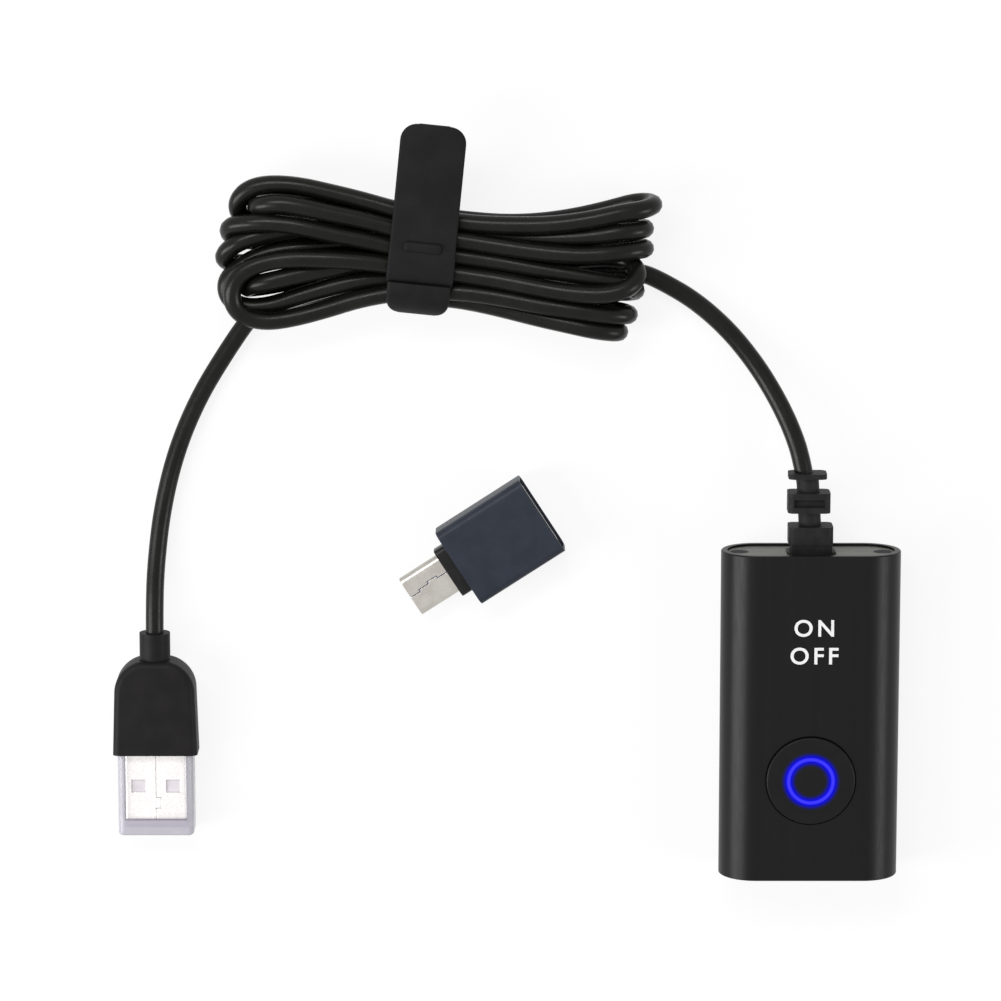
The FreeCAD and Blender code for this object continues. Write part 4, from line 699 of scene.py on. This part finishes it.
def grown(name, tree, material, **sizes):
    """The plain mesh that a tree makes with these sizes."""
    piece = linked(name, bpy.data.meshes.new(name))
    growth = piece.modifiers.new("growth", "NODES")
    growth.node_group = tree
    sockets = {item.name: item.identifier for item in tree.interface.items_tree
               if item.in_out == "INPUT"}
    for label, value in (*sizes.items(), ("material", material)):
        growth[sockets[label]] = value
    piece = settled(piece)
    piece.data.shade_smooth()
    piece.data.set_sharp_from_angle(angle=math.radians(40))
    return piece


def band_tree():
    """A flat band that runs round an upright oval path."""
    tree, given = geometry_tree("strap_band", path_width=0.0224, path_depth=0.0115, band_width=0.0124,
                                thickness=0.0012, corner=0.0004)
    path = add_node(tree, "GeometryNodeCurvePrimitiveQuadrilateral",
                    {"Width": given.outputs["path_width"], "Height": given.outputs["path_depth"]})
    half = maths(tree, "MULTIPLY", given.outputs["path_depth"], 0.499)
    oval = add_node(tree, "GeometryNodeFilletCurve",
                    {"Curve": path.outputs[0], "Radius": half, "Count": 14}, mode="POLY")
    section = add_node(tree, "GeometryNodeCurvePrimitiveQuadrilateral",
                       {"Width": given.outputs["thickness"], "Height": given.outputs["band_width"]})
    soft = add_node(tree, "GeometryNodeFilletCurve",
                    {"Curve": section.outputs[0], "Radius": given.outputs["corner"], "Count": 4},
                    mode="POLY")
    band = add_node(tree, "GeometryNodeCurveToMesh",
                    {"Curve": oval.outputs[0], "Profile Curve": soft.outputs[0], "Fill Caps": False})
    upright = add_node(tree, "GeometryNodeTransform",
                       {"Geometry": band.outputs[0],
                        "Rotation": (math.radians(90), 0.0, math.radians(90))})
    return finished_tree(tree, given, upright.outputs[0])


def strap_section(look, width, along, level, thickness, lean=0.0):
    """A rounded cross-section of the strap's free end, lean being how steeply it climbs there."""
    ring = []
    for across, up in oblong(width, thickness, thickness * 0.42):
        ring.append(strap_place(look, across, along - up * math.sin(lean), level + up * math.cos(lean)))
    return ring


def rounded_below(look, piece):
    """Draw the lower end of a piece of the strap in towards a round."""
    middle = strap_place(look, 0.0, 0.0, 0.0)
    turn = Matrix.Rotation(look.slant, 3, "Z")
    for vertex in piece.data.vertices:
        local = turn.inverted() @ (vertex.co - middle)
        share = min(1.0, max(0.0, (-ROUND_START - local.y) / ROUND_LENGTH))
        local.x *= 1.0 - ROUND_SHARE * (1.0 - math.sqrt(1.0 - share * share))
        vertex.co = middle + turn @ local


class JIGGLER_OT_strap(bpy.types.Operator):
    """Make the silicone strap: the band round the hank, its head, and the free end with its nub"""

    bl_idname = "jiggler.strap"
    bl_label = "Strap"

    def execute(self, context):
        look = context.scene.jiggler_strap
        silicone = grained("strap_black", (0.0060, 0.0060, 0.0062), (0.0090, 0.0090, 0.0090), 0.62,
                           size=0.00025, depth=0.000006, cloud=0.005, Specular_IOR_Level=0.1)
        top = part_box("cable_strap")[1].z - 0.0005
        band = grown("strap_band", band_tree(), silicone.material, band_width=look.width - 0.0012,
                     path_width=LOOP_WIDTH, thickness=look.thickness,
                     place=tuple(strap_place(look, 0.0, 0.0003, LOOP_LEVEL)),
                     turn=(0.0, 0.0, look.slant))
        rounded_below(look, band)
        dressed(band, silicone.material, "cable_strap")

        half = look.thickness / 2
        middle = top - half
        rings = [strap_section(look, look.width + spread, along, middle - drop, look.thickness,
                               math.radians(lean)) for along, drop, spread, lean in TAIL_SECTIONS]
        for step in range(9):
            angle = math.radians(90) * step / 8
            width = look.width - 2 * TAIL_CORNER * (1 - math.cos(angle))
            along = look.reach - TAIL_CORNER + TAIL_CORNER * math.sin(angle)
            rings.append(strap_section(look, width, along, middle, look.thickness))
        rings.append(strap_section(look, look.width - 2 * TAIL_CORNER - 0.0006, look.reach + 0.0001,
                                   middle, look.thickness * 0.6))
        dressed(lofted("strap_tail", rings), silicone.material, "cable_strap")

        rings = [[strap_place(look, across, along + NUB_ALONG, top + rise) for across, along in
                  oblong(NUB_LENGTH - 2 * inset, NUB_WIDTH - 2 * inset, NUB_CORNER)]
                 for inset, rise in NUB_SECTIONS]
        dressed(lofted("strap_nub", rings), silicone.material, "cable_strap")

        rings = []
        for turn in range(6, 121, 6):
            angle = math.radians(turn)
            outward = Vector((0.0, -math.sin(angle), math.cos(angle)))
            seat = Vector((0.0, HEAD_ALONG, LOOP_LEVEL)) + outward * (LOOP_RADIUS + look.thickness)
            ring = []
            for across, up in oblong(look.width - 0.0004, look.thickness * 1.3, look.thickness * 0.6):
                point = seat + outward * (up + 0.0001)
                ring.append(strap_place(look, across, point.y, point.z))
            rings.append(ring)
        head = lofted("strap_head", rings)
        rounded_below(look, head)
        dressed(head, silicone.material, "cable_strap")
        return {"FINISHED"}


# -------- plug, cap and contacts


class JIGGLER_OT_plug(bpy.types.Operator):
    """Make the USB-A plug: moulded grip, plated shell and white tongue"""

    bl_idname = "jiggler.plug"
    bl_label = "Plug"

    def execute(self, context):
        look = context.scene.jiggler_plug
        grip = grained("grip_black", look.grip, paler(look.grip, 0.35), 0.5, size=0.00022,
                       depth=0.000008, Specular_IOR_Level=0.09)
        softened("grip", "plug_overmould", 0.0003, grip.material)
        steel = grained("shell_nickel", look.nickel, paler(look.nickel, -0.05), 0.3, size=0.0008,
                        depth=0.0000002, cloud=0.003, Metallic=0.55)
        softened("plug_steel", "plug_shell", 0.00007, steel.material)
        plastic = grained("insulator_white", (0.66, 0.62, 0.65), (0.72, 0.68, 0.71), 0.4, cloud=0.003)
        softened("plug_tongue", "plug_insulator", 0.0001, plastic.material)
        return {"FINISHED"}


def contact_tree():
    """Rows of thin contact strips whose ends bow down."""
    tree, given = geometry_tree("contact_rows", count=4, pitch=0.0023, rows=1, row_gap=0.0007,
                                length=0.008, width=0.0012, thickness=0.00012, bow=0.00005)
    size = add_node(tree, "ShaderNodeCombineXYZ",
                    [given.outputs["width"], given.outputs["length"], given.outputs["thickness"]])
    strip = add_node(tree, "GeometryNodeMeshCube",
                     {"Size": size.outputs[0], "Vertices X": 3, "Vertices Y": 9, "Vertices Z": 2})
    here = tree.nodes.new("GeometryNodeInputPosition")
    parts = add_node(tree, "ShaderNodeSeparateXYZ", [here.outputs[0]])
    share = maths(tree, "DIVIDE", parts.outputs[1], given.outputs["length"])
    fall = maths(tree, "MULTIPLY", maths(tree, "POWER", share, 4.0), given.outputs["bow"])
    shift = add_node(tree, "ShaderNodeCombineXYZ", [0.0, 0.0, maths(tree, "MULTIPLY", fall, -16.0)])
    bowed = add_node(tree, "GeometryNodeSetPosition",
                     {"Geometry": strip.outputs[0], "Offset": shift.outputs[0]})

    def line(count, gap, axis):
        """Points along one axis, centred on the origin."""
        spaces = maths(tree, "SUBTRACT", given.outputs[count], 1.0)
        run = maths(tree, "MULTIPLY", spaces, given.outputs[gap])
        start = add_node(tree, "ShaderNodeCombineXYZ", {axis: maths(tree, "MULTIPLY", run, -0.5)})
        step = add_node(tree, "ShaderNodeCombineXYZ", {axis: given.outputs[gap]})
        return add_node(tree, "GeometryNodeMeshLine",
                        {"Count": given.outputs[count], "Start Location": start.outputs[0],
                         "Offset": step.outputs[0]}).outputs[0]

    row = add_node(tree, "GeometryNodeInstanceOnPoints",
                   {"Points": line("count", "pitch", 0), "Instance": bowed.outputs[0]})
    stack = add_node(tree, "GeometryNodeInstanceOnPoints",
                     {"Points": line("rows", "row_gap", 2), "Instance": row.outputs[0]})
    return finished_tree(tree, given, stack.outputs[0])


ADAPTER_TURN = math.radians(33.0) + math.radians(90)
CONTACTS = (
    ("plug_fingers", "plug_contacts", 0.0, {"length": 0.008, "thickness": 0.00012}),
    ("socket_fingers", "adapter_a_contacts", ADAPTER_TURN, {"length": 0.007, "thickness": 0.00012}),
    ("c_fingers", "adapter_c_contacts", ADAPTER_TURN,
     {"count": 12, "pitch": 0.0005, "rows": 2, "row_gap": 0.00068, "length": 0.0071,
      "width": 0.00025, "thickness": 0.00008, "bow": 0.00003}),
)


class JIGGLER_OT_contacts(bpy.types.Operator):
    """Lay the gilt contacts of the plug and of both ends of the adapter"""

    bl_idname = "jiggler.contacts"
    bl_label = "Contacts"

    def execute(self, context):
        tree = contact_tree()
        gilt = grained("contact_gold", (0.83, 0.58, 0.22), (0.90, 0.68, 0.30), 0.24, size=0.0002,
                       depth=0.000001, cloud=0.0012, Metallic=1.0)
        for name, node, turn, sizes in CONTACTS:
            lowest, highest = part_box(node)
            fingers = grown(name, tree, gilt.material, place=tuple((lowest + highest) / 2),
                            turn=(0.0, 0.0, turn), **sizes)
            dressed(fingers, gilt.material, node)
        return {"FINISHED"}


class JIGGLER_OT_cap(bpy.types.Operator):
    """Make the see-through cap on the plug"""

    bl_idname = "jiggler.cap"
    bl_label = "Cap"

    def execute(self, context):
        look = context.scene.jiggler_plug
        clear = grained("cap_clear", look.clear, paler(look.clear, 0.06), 0.16, size=0.002,
                        depth=0.0000004, cloud=0.004, Specular_IOR_Level=0.3)
        lowest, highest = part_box("plug_shell")
        middle, half = (lowest.x + highest.x) / 2, (highest.x - lowest.x) / 2
        off = clear.maths("ABSOLUTE", clear.maths("SUBTRACT", clear.along(0), middle))
        beside = clear.between(off, 0.0, 1.0, start=half - 0.0001, end=half + 0.0002)
        beyond = clear.between(clear.along(1), 1.0, 0.0, start=lowest.y - 0.0002, end=lowest.y + 0.0001)
        walls = clear.maths("MAXIMUM", beside, beyond)
        clear.join("Alpha", clear.between(walls, look.cover * 0.08, look.cover, 0.0, 1.0))
        softened("plug_cover", "plug_cap", 0.00035, clear.material)
        return {"FINISHED"}


# -------- adapter


class JIGGLER_OT_adapter(bpy.types.Operator):
    """Make the loose adapter: sleeve, nose, C plug and A socket"""

    bl_idname = "jiggler.adapter"
    bl_label = "Adapter"

    def execute(self, context):
        look = context.scene.jiggler_adapter
        sleeve = grained("sleeve_blue_grey", look.sleeve, paler(look.sleeve, 0.2), 0.36, size=0.00016,
                         depth=0.000004, cloud=0.003, Specular_IOR_Level=0.12)
        softened("adapter_case", "adapter_sleeve", 0.0001, sleeve.material)
        nose = grained("nose_black", (0.005, 0.005, 0.0055), (0.009, 0.009, 0.0095), 0.35, cloud=0.002,
                       Specular_IOR_Level=0.2)
        softened("adapter_front", "adapter_nose", 0.0002, nose.material)
        steel = grained("c_nickel", (0.46, 0.435, 0.40), (0.53, 0.505, 0.47), 0.26, size=0.0005,
                        depth=0.000001, cloud=0.003, Metallic=0.9)
        softened("adapter_c_steel", "adapter_c_shell", 0.00008, steel.material)
        lining = grained("insulator_blue", look.lining, paler(look.lining, 0.2), 0.4, cloud=0.002)
        softened("adapter_lining", "adapter_c_insulator", 0.00008, lining.material)
        softened("adapter_socket", "adapter_a_shell", 0.00006, steel.material)
        softened("adapter_tongue", "adapter_a_tongue", 0.0001, lining.material)
        return {"FINISHED"}


# -------- inside the case


def board_green(name):
    """Solder mask over copper tracks, with bare copper rings."""
    finish = Finish(name, (0.01, 0.09, 0.04), 0.35, Specular_IOR_Level=0.5)
    lanes = finish.add("ShaderNodeTexBrick", {
        "Vector": finish.place, "Color1": opaque((1.0, 1.0, 1.0)), "Color2": opaque((1.0, 1.0, 1.0)),
        "Mortar": opaque((0.0, 0.0, 0.0)), "Scale": 420.0, "Mortar Size": 0.035, "Mortar Smooth": 0.2,
        "Row Height": 0.45, "Brick Width": 1.6}).outputs[0]
    dots = finish.add("ShaderNodeTexVoronoi", {"Vector": finish.place, "Scale": 330.0}).outputs[0]
    ring = finish.between(dots, 1.0, 0.0, 0.10, 0.16)
    mask = finish.blend(lanes, (0.018, 0.15, 0.065), (0.006, 0.07, 0.03))
    finish.join("Base Color", finish.blend(ring, mask, (0.72, 0.55, 0.28)))
    finish.join("Metallic", ring)
    finish.relief(lanes, 0.00001)
    return finish.material


def two_tone(name, body, ends, near, far, middle, roughness, **sockets):
    """A small part that is one colour within near of a line x = middle and metal beyond far."""
    finish = Finish(name, body, roughness, **sockets)
    off = finish.maths("ABSOLUTE", finish.maths("SUBTRACT", finish.along(0), middle))
    metal = finish.between(off, 0.0, 1.0, near, far)
    cloud = finish.between(finish.noise(0.0008), 0.0, 1.0)
    finish.join("Base Color", finish.blend(metal, finish.blend(cloud, body, paler(body, 0.25)), ends))
    finish.join("Metallic", metal)
    finish.relief(finish.noise(0.00015), 0.000004)
    return finish.material


class JIGGLER_OT_inside(bpy.types.Operator):
    """Finish the circuit boards, the parts on them, and the wires of the lead"""

    bl_idname = "jiggler.inside"
    bl_label = "Inside"

    def execute(self, context):
        tin = (0.62, 0.62, 0.60)
        finish_nodes(board_green("board_green"), "circuit_board", "adapter_board")
        chip = two_tone("chip_black", (0.016, 0.016, 0.017), tin, near=0.0025, far=0.00252,
                        middle=0.0, roughness=0.5)
        finish_nodes(chip, "microcontroller")
        for name, node, body in (("capacitor_tan", "chip_capacitors", (0.42, 0.27, 0.13)),
                                 ("resistor_black", "chip_resistors", (0.02, 0.02, 0.022))):
            lowest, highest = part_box(node)
            middle = (lowest.x + highest.x) / 2
            finish_nodes(two_tone(name, body, tin, near=0.00062, far=0.00064, middle=middle,
                                  roughness=0.4), node)
        can = brushed("can_metal", (0.55, 0.55, 0.54), (0.66, 0.66, 0.65), 0.3, Metallic=1.0)
        finish_nodes(can.material, "crystal")
        solder = grained("solder", (0.50, 0.50, 0.50), (0.62, 0.62, 0.62), 0.3, size=0.0003,
                         depth=0.00001, cloud=0.001, Metallic=1.0)
        finish_nodes(solder.material, "solder_pads")
        lamp = Finish("led_white", (0.85, 0.84, 0.78), 0.35)
        spot = lamp.between(lamp.noise(0.0007), 0.0, 1.0)
        lamp.join("Base Color", lamp.blend(spot, (0.85, 0.84, 0.78), (0.30, 0.42, 0.90)))
        finish_nodes(lamp.material, "led_chips")
        base = grained("switch_black", (0.015, 0.015, 0.016), (0.024, 0.024, 0.025), 0.45)
        finish_nodes(base.material, "switch_base")
        stem = grained("switch_white", (0.72, 0.71, 0.68), (0.80, 0.79, 0.76), 0.4)
        finish_nodes(stem.material, "switch_plunger")
        for name, colour in (("wire_red", (0.42, 0.012, 0.010)), ("wire_white", (0.74, 0.73, 0.70)),
                             ("wire_green", (0.015, 0.21, 0.045)),
                             ("wire_black", (0.014, 0.014, 0.015))):
            insulation = grained(name, colour, paler(colour, 0.2), 0.38, size=0.0003, cloud=0.0025)
            finish_nodes(insulation.material, name)
        return {"FINISHED"}


# -------- stage


def seen_directly(tree):
    """1 where the camera, a reflection or clear plastic looks at a surface, and 0 for light alone."""
    rays = tree.nodes.new("ShaderNodeLightPath").outputs
    plain = maths(tree, "MAXIMUM", rays["Is Camera Ray"], rays["Is Glossy Ray"])
    return maths(tree, "MAXIMUM", plain, rays["Is Transmission Ray"])


FLOOR_WHITENESS = 0.87
FLOOR_HALF = 3.0


def floor_white():
    """White paper that keeps a soft shadow."""
    material = bpy.data.materials.new("floor_white")
    material.use_nodes = True
    tree = material.node_tree
    tree.nodes.clear()
    paper = add_node(tree, "ShaderNodeBsdfDiffuse", {"Color": opaque((0.86, 0.86, 0.86))})
    glow = add_node(tree, "ShaderNodeEmission", {"Color": opaque((1.0, 1.0, 1.0)), "Strength": 1.0})
    share = maths(tree, "MULTIPLY", seen_directly(tree), FLOOR_WHITENESS)
    mix = add_node(tree, "ShaderNodeMixShader", [share, paper.outputs[0], glow.outputs[0]])
    add_node(tree, "ShaderNodeOutputMaterial", [mix.outputs[0]])
    return material


def surround_world(level):
    """Even grey light from all round, that is white where it is seen."""
    world = bpy.data.worlds.new("surround")
    world.use_nodes = True
    tree = world.node_tree
    tree.nodes.clear()
    plain = add_node(tree, "ShaderNodeBackground", {"Color": opaque((level, level, level))})
    white = add_node(tree, "ShaderNodeBackground", {"Color": opaque((1.0, 1.0, 1.0))})
    mix = add_node(tree, "ShaderNodeMixShader",
                   [seen_directly(tree), plain.outputs[0], white.outputs[0]])
    add_node(tree, "ShaderNodeOutputWorld", [mix.outputs[0]])
    return world


def area_light(name, power, size, place, target):
    """A soft rectangular light at place that faces target."""
    light = bpy.data.lights.new(name, "AREA")
    light.shape = "RECTANGLE"
    light.energy = power
    light.size, light.size_y = size
    lamp = linked(name, light)
    lamp.location = place
    lamp.rotation_euler = (Vector(target) - Vector(place)).to_track_quat("-Z", "Y").to_euler()


class JIGGLER_OT_stage(bpy.types.Operator):
    """Set the camera, the soft studio light and the white floor"""

    bl_idname = "jiggler.stage"
    bl_label = "Stage"

    def execute(self, context):
        look = context.scene.jiggler_stage
        scene = context.scene
        centre = Vector(look.centre)

        lens = bpy.data.cameras.new("camera")
        lens.lens = look.focal_length
        lens.sensor_width = 36.0
        lens.clip_start, lens.clip_end = 0.05, 20.0
        camera = linked("camera", lens)
        upwards = Vector((0.0, math.sin(look.tilt), math.cos(look.tilt)))
        camera.location = centre + look.distance * upwards
        camera.rotation_euler = (-look.tilt, 0.0, 0.0)
        scene.camera = camera
        scene.view_settings.view_transform = "Standard"
        scene.world = surround_world(look.surround)

        corners = [centre + Vector((x * FLOOR_HALF, y * FLOOR_HALF, 0.0))
                   for x, y in ((-1, -1), (1, -1), (1, 1), (-1, 1))]
        sheet = bpy.data.meshes.new("floor")
        sheet.from_pydata(corners, [], [(0, 1, 2, 3)])
        sheet.materials.append(floor_white())
        linked("floor", sheet)

        area_light("key", look.key_power, (0.7, 0.2), centre + Vector((-0.25, 0.55, 0.75)), centre)
        case_middle = (0.0, 0.0, 0.0)
        area_light("left_strip", look.side_power, (0.3, 0.6), (-0.70, -0.13, 0.40), case_middle)
        area_light("right_strip", look.side_power / 2, (0.3, 0.4), (0.72, -0.13, 0.42), case_middle)
        return {"FINISHED"}


# -------- add-on

LOOKS = {
    "jiggler_case": CaseLook,
    "jiggler_button": ButtonLook,
    "jiggler_lead": LeadLook,
    "jiggler_strap": StrapLook,
    "jiggler_plug": PlugLook,
    "jiggler_adapter": AdapterLook,
    "jiggler_stage": StageLook,
}

OPERATORS = [
    JIGGLER_OT_case, JIGGLER_OT_label, JIGGLER_OT_button, JIGGLER_OT_boot, JIGGLER_OT_strap,
    JIGGLER_OT_plug, JIGGLER_OT_contacts, JIGGLER_OT_cap, JIGGLER_OT_adapter, JIGGLER_OT_inside,
    JIGGLER_OT_lead, JIGGLER_OT_stage,
]


class JIGGLER_PT_panel(bpy.types.Panel):
    """Lists every piece and its values"""

    bl_idname = "JIGGLER_PT_panel"
    bl_label = "Mouse jiggler"
    bl_space_type = "VIEW_3D"
    bl_region_type = "UI"
    bl_category = "Jiggler"

    def draw(self, context):
        for operator in OPERATORS:
            self.layout.operator(operator.bl_idname)
        for name in LOOKS:
            look = getattr(context.scene, name)
            section = self.layout.box()
            section.label(text=name.replace("jiggler_", "").capitalize())
            for value in look.bl_rna.properties.keys():
                if value not in ("rna_type", "name"):
                    section.prop(look, value)


def register():
    for name, group in LOOKS.items():
        bpy.utils.register_class(group)
        setattr(bpy.types.Scene, name, bpy.props.PointerProperty(type=group))
    for operator in OPERATORS:
        bpy.utils.register_class(operator)
    bpy.utils.register_class(JIGGLER_PT_panel)


def unregister():
    bpy.utils.unregister_class(JIGGLER_PT_panel)
    for operator in reversed(OPERATORS):
        bpy.utils.unregister_class(operator)
    for name, group in LOOKS.items():
        delattr(bpy.types.Scene, name)
        bpy.utils.unregister_class(group)


def main():
    register()
    bpy.ops.jiggler.case()
    bpy.ops.jiggler.label()
    bpy.ops.jiggler.button()
    bpy.ops.jiggler.boot()
    bpy.ops.jiggler.strap()
    bpy.ops.jiggler.plug()
    bpy.ops.jiggler.contacts()
    bpy.ops.jiggler.cap()
    bpy.ops.jiggler.adapter()
    bpy.ops.jiggler.inside()
    bpy.ops.jiggler.lead()
    bpy.ops.jiggler.stage()


if __name__ == "__main__":
    main()
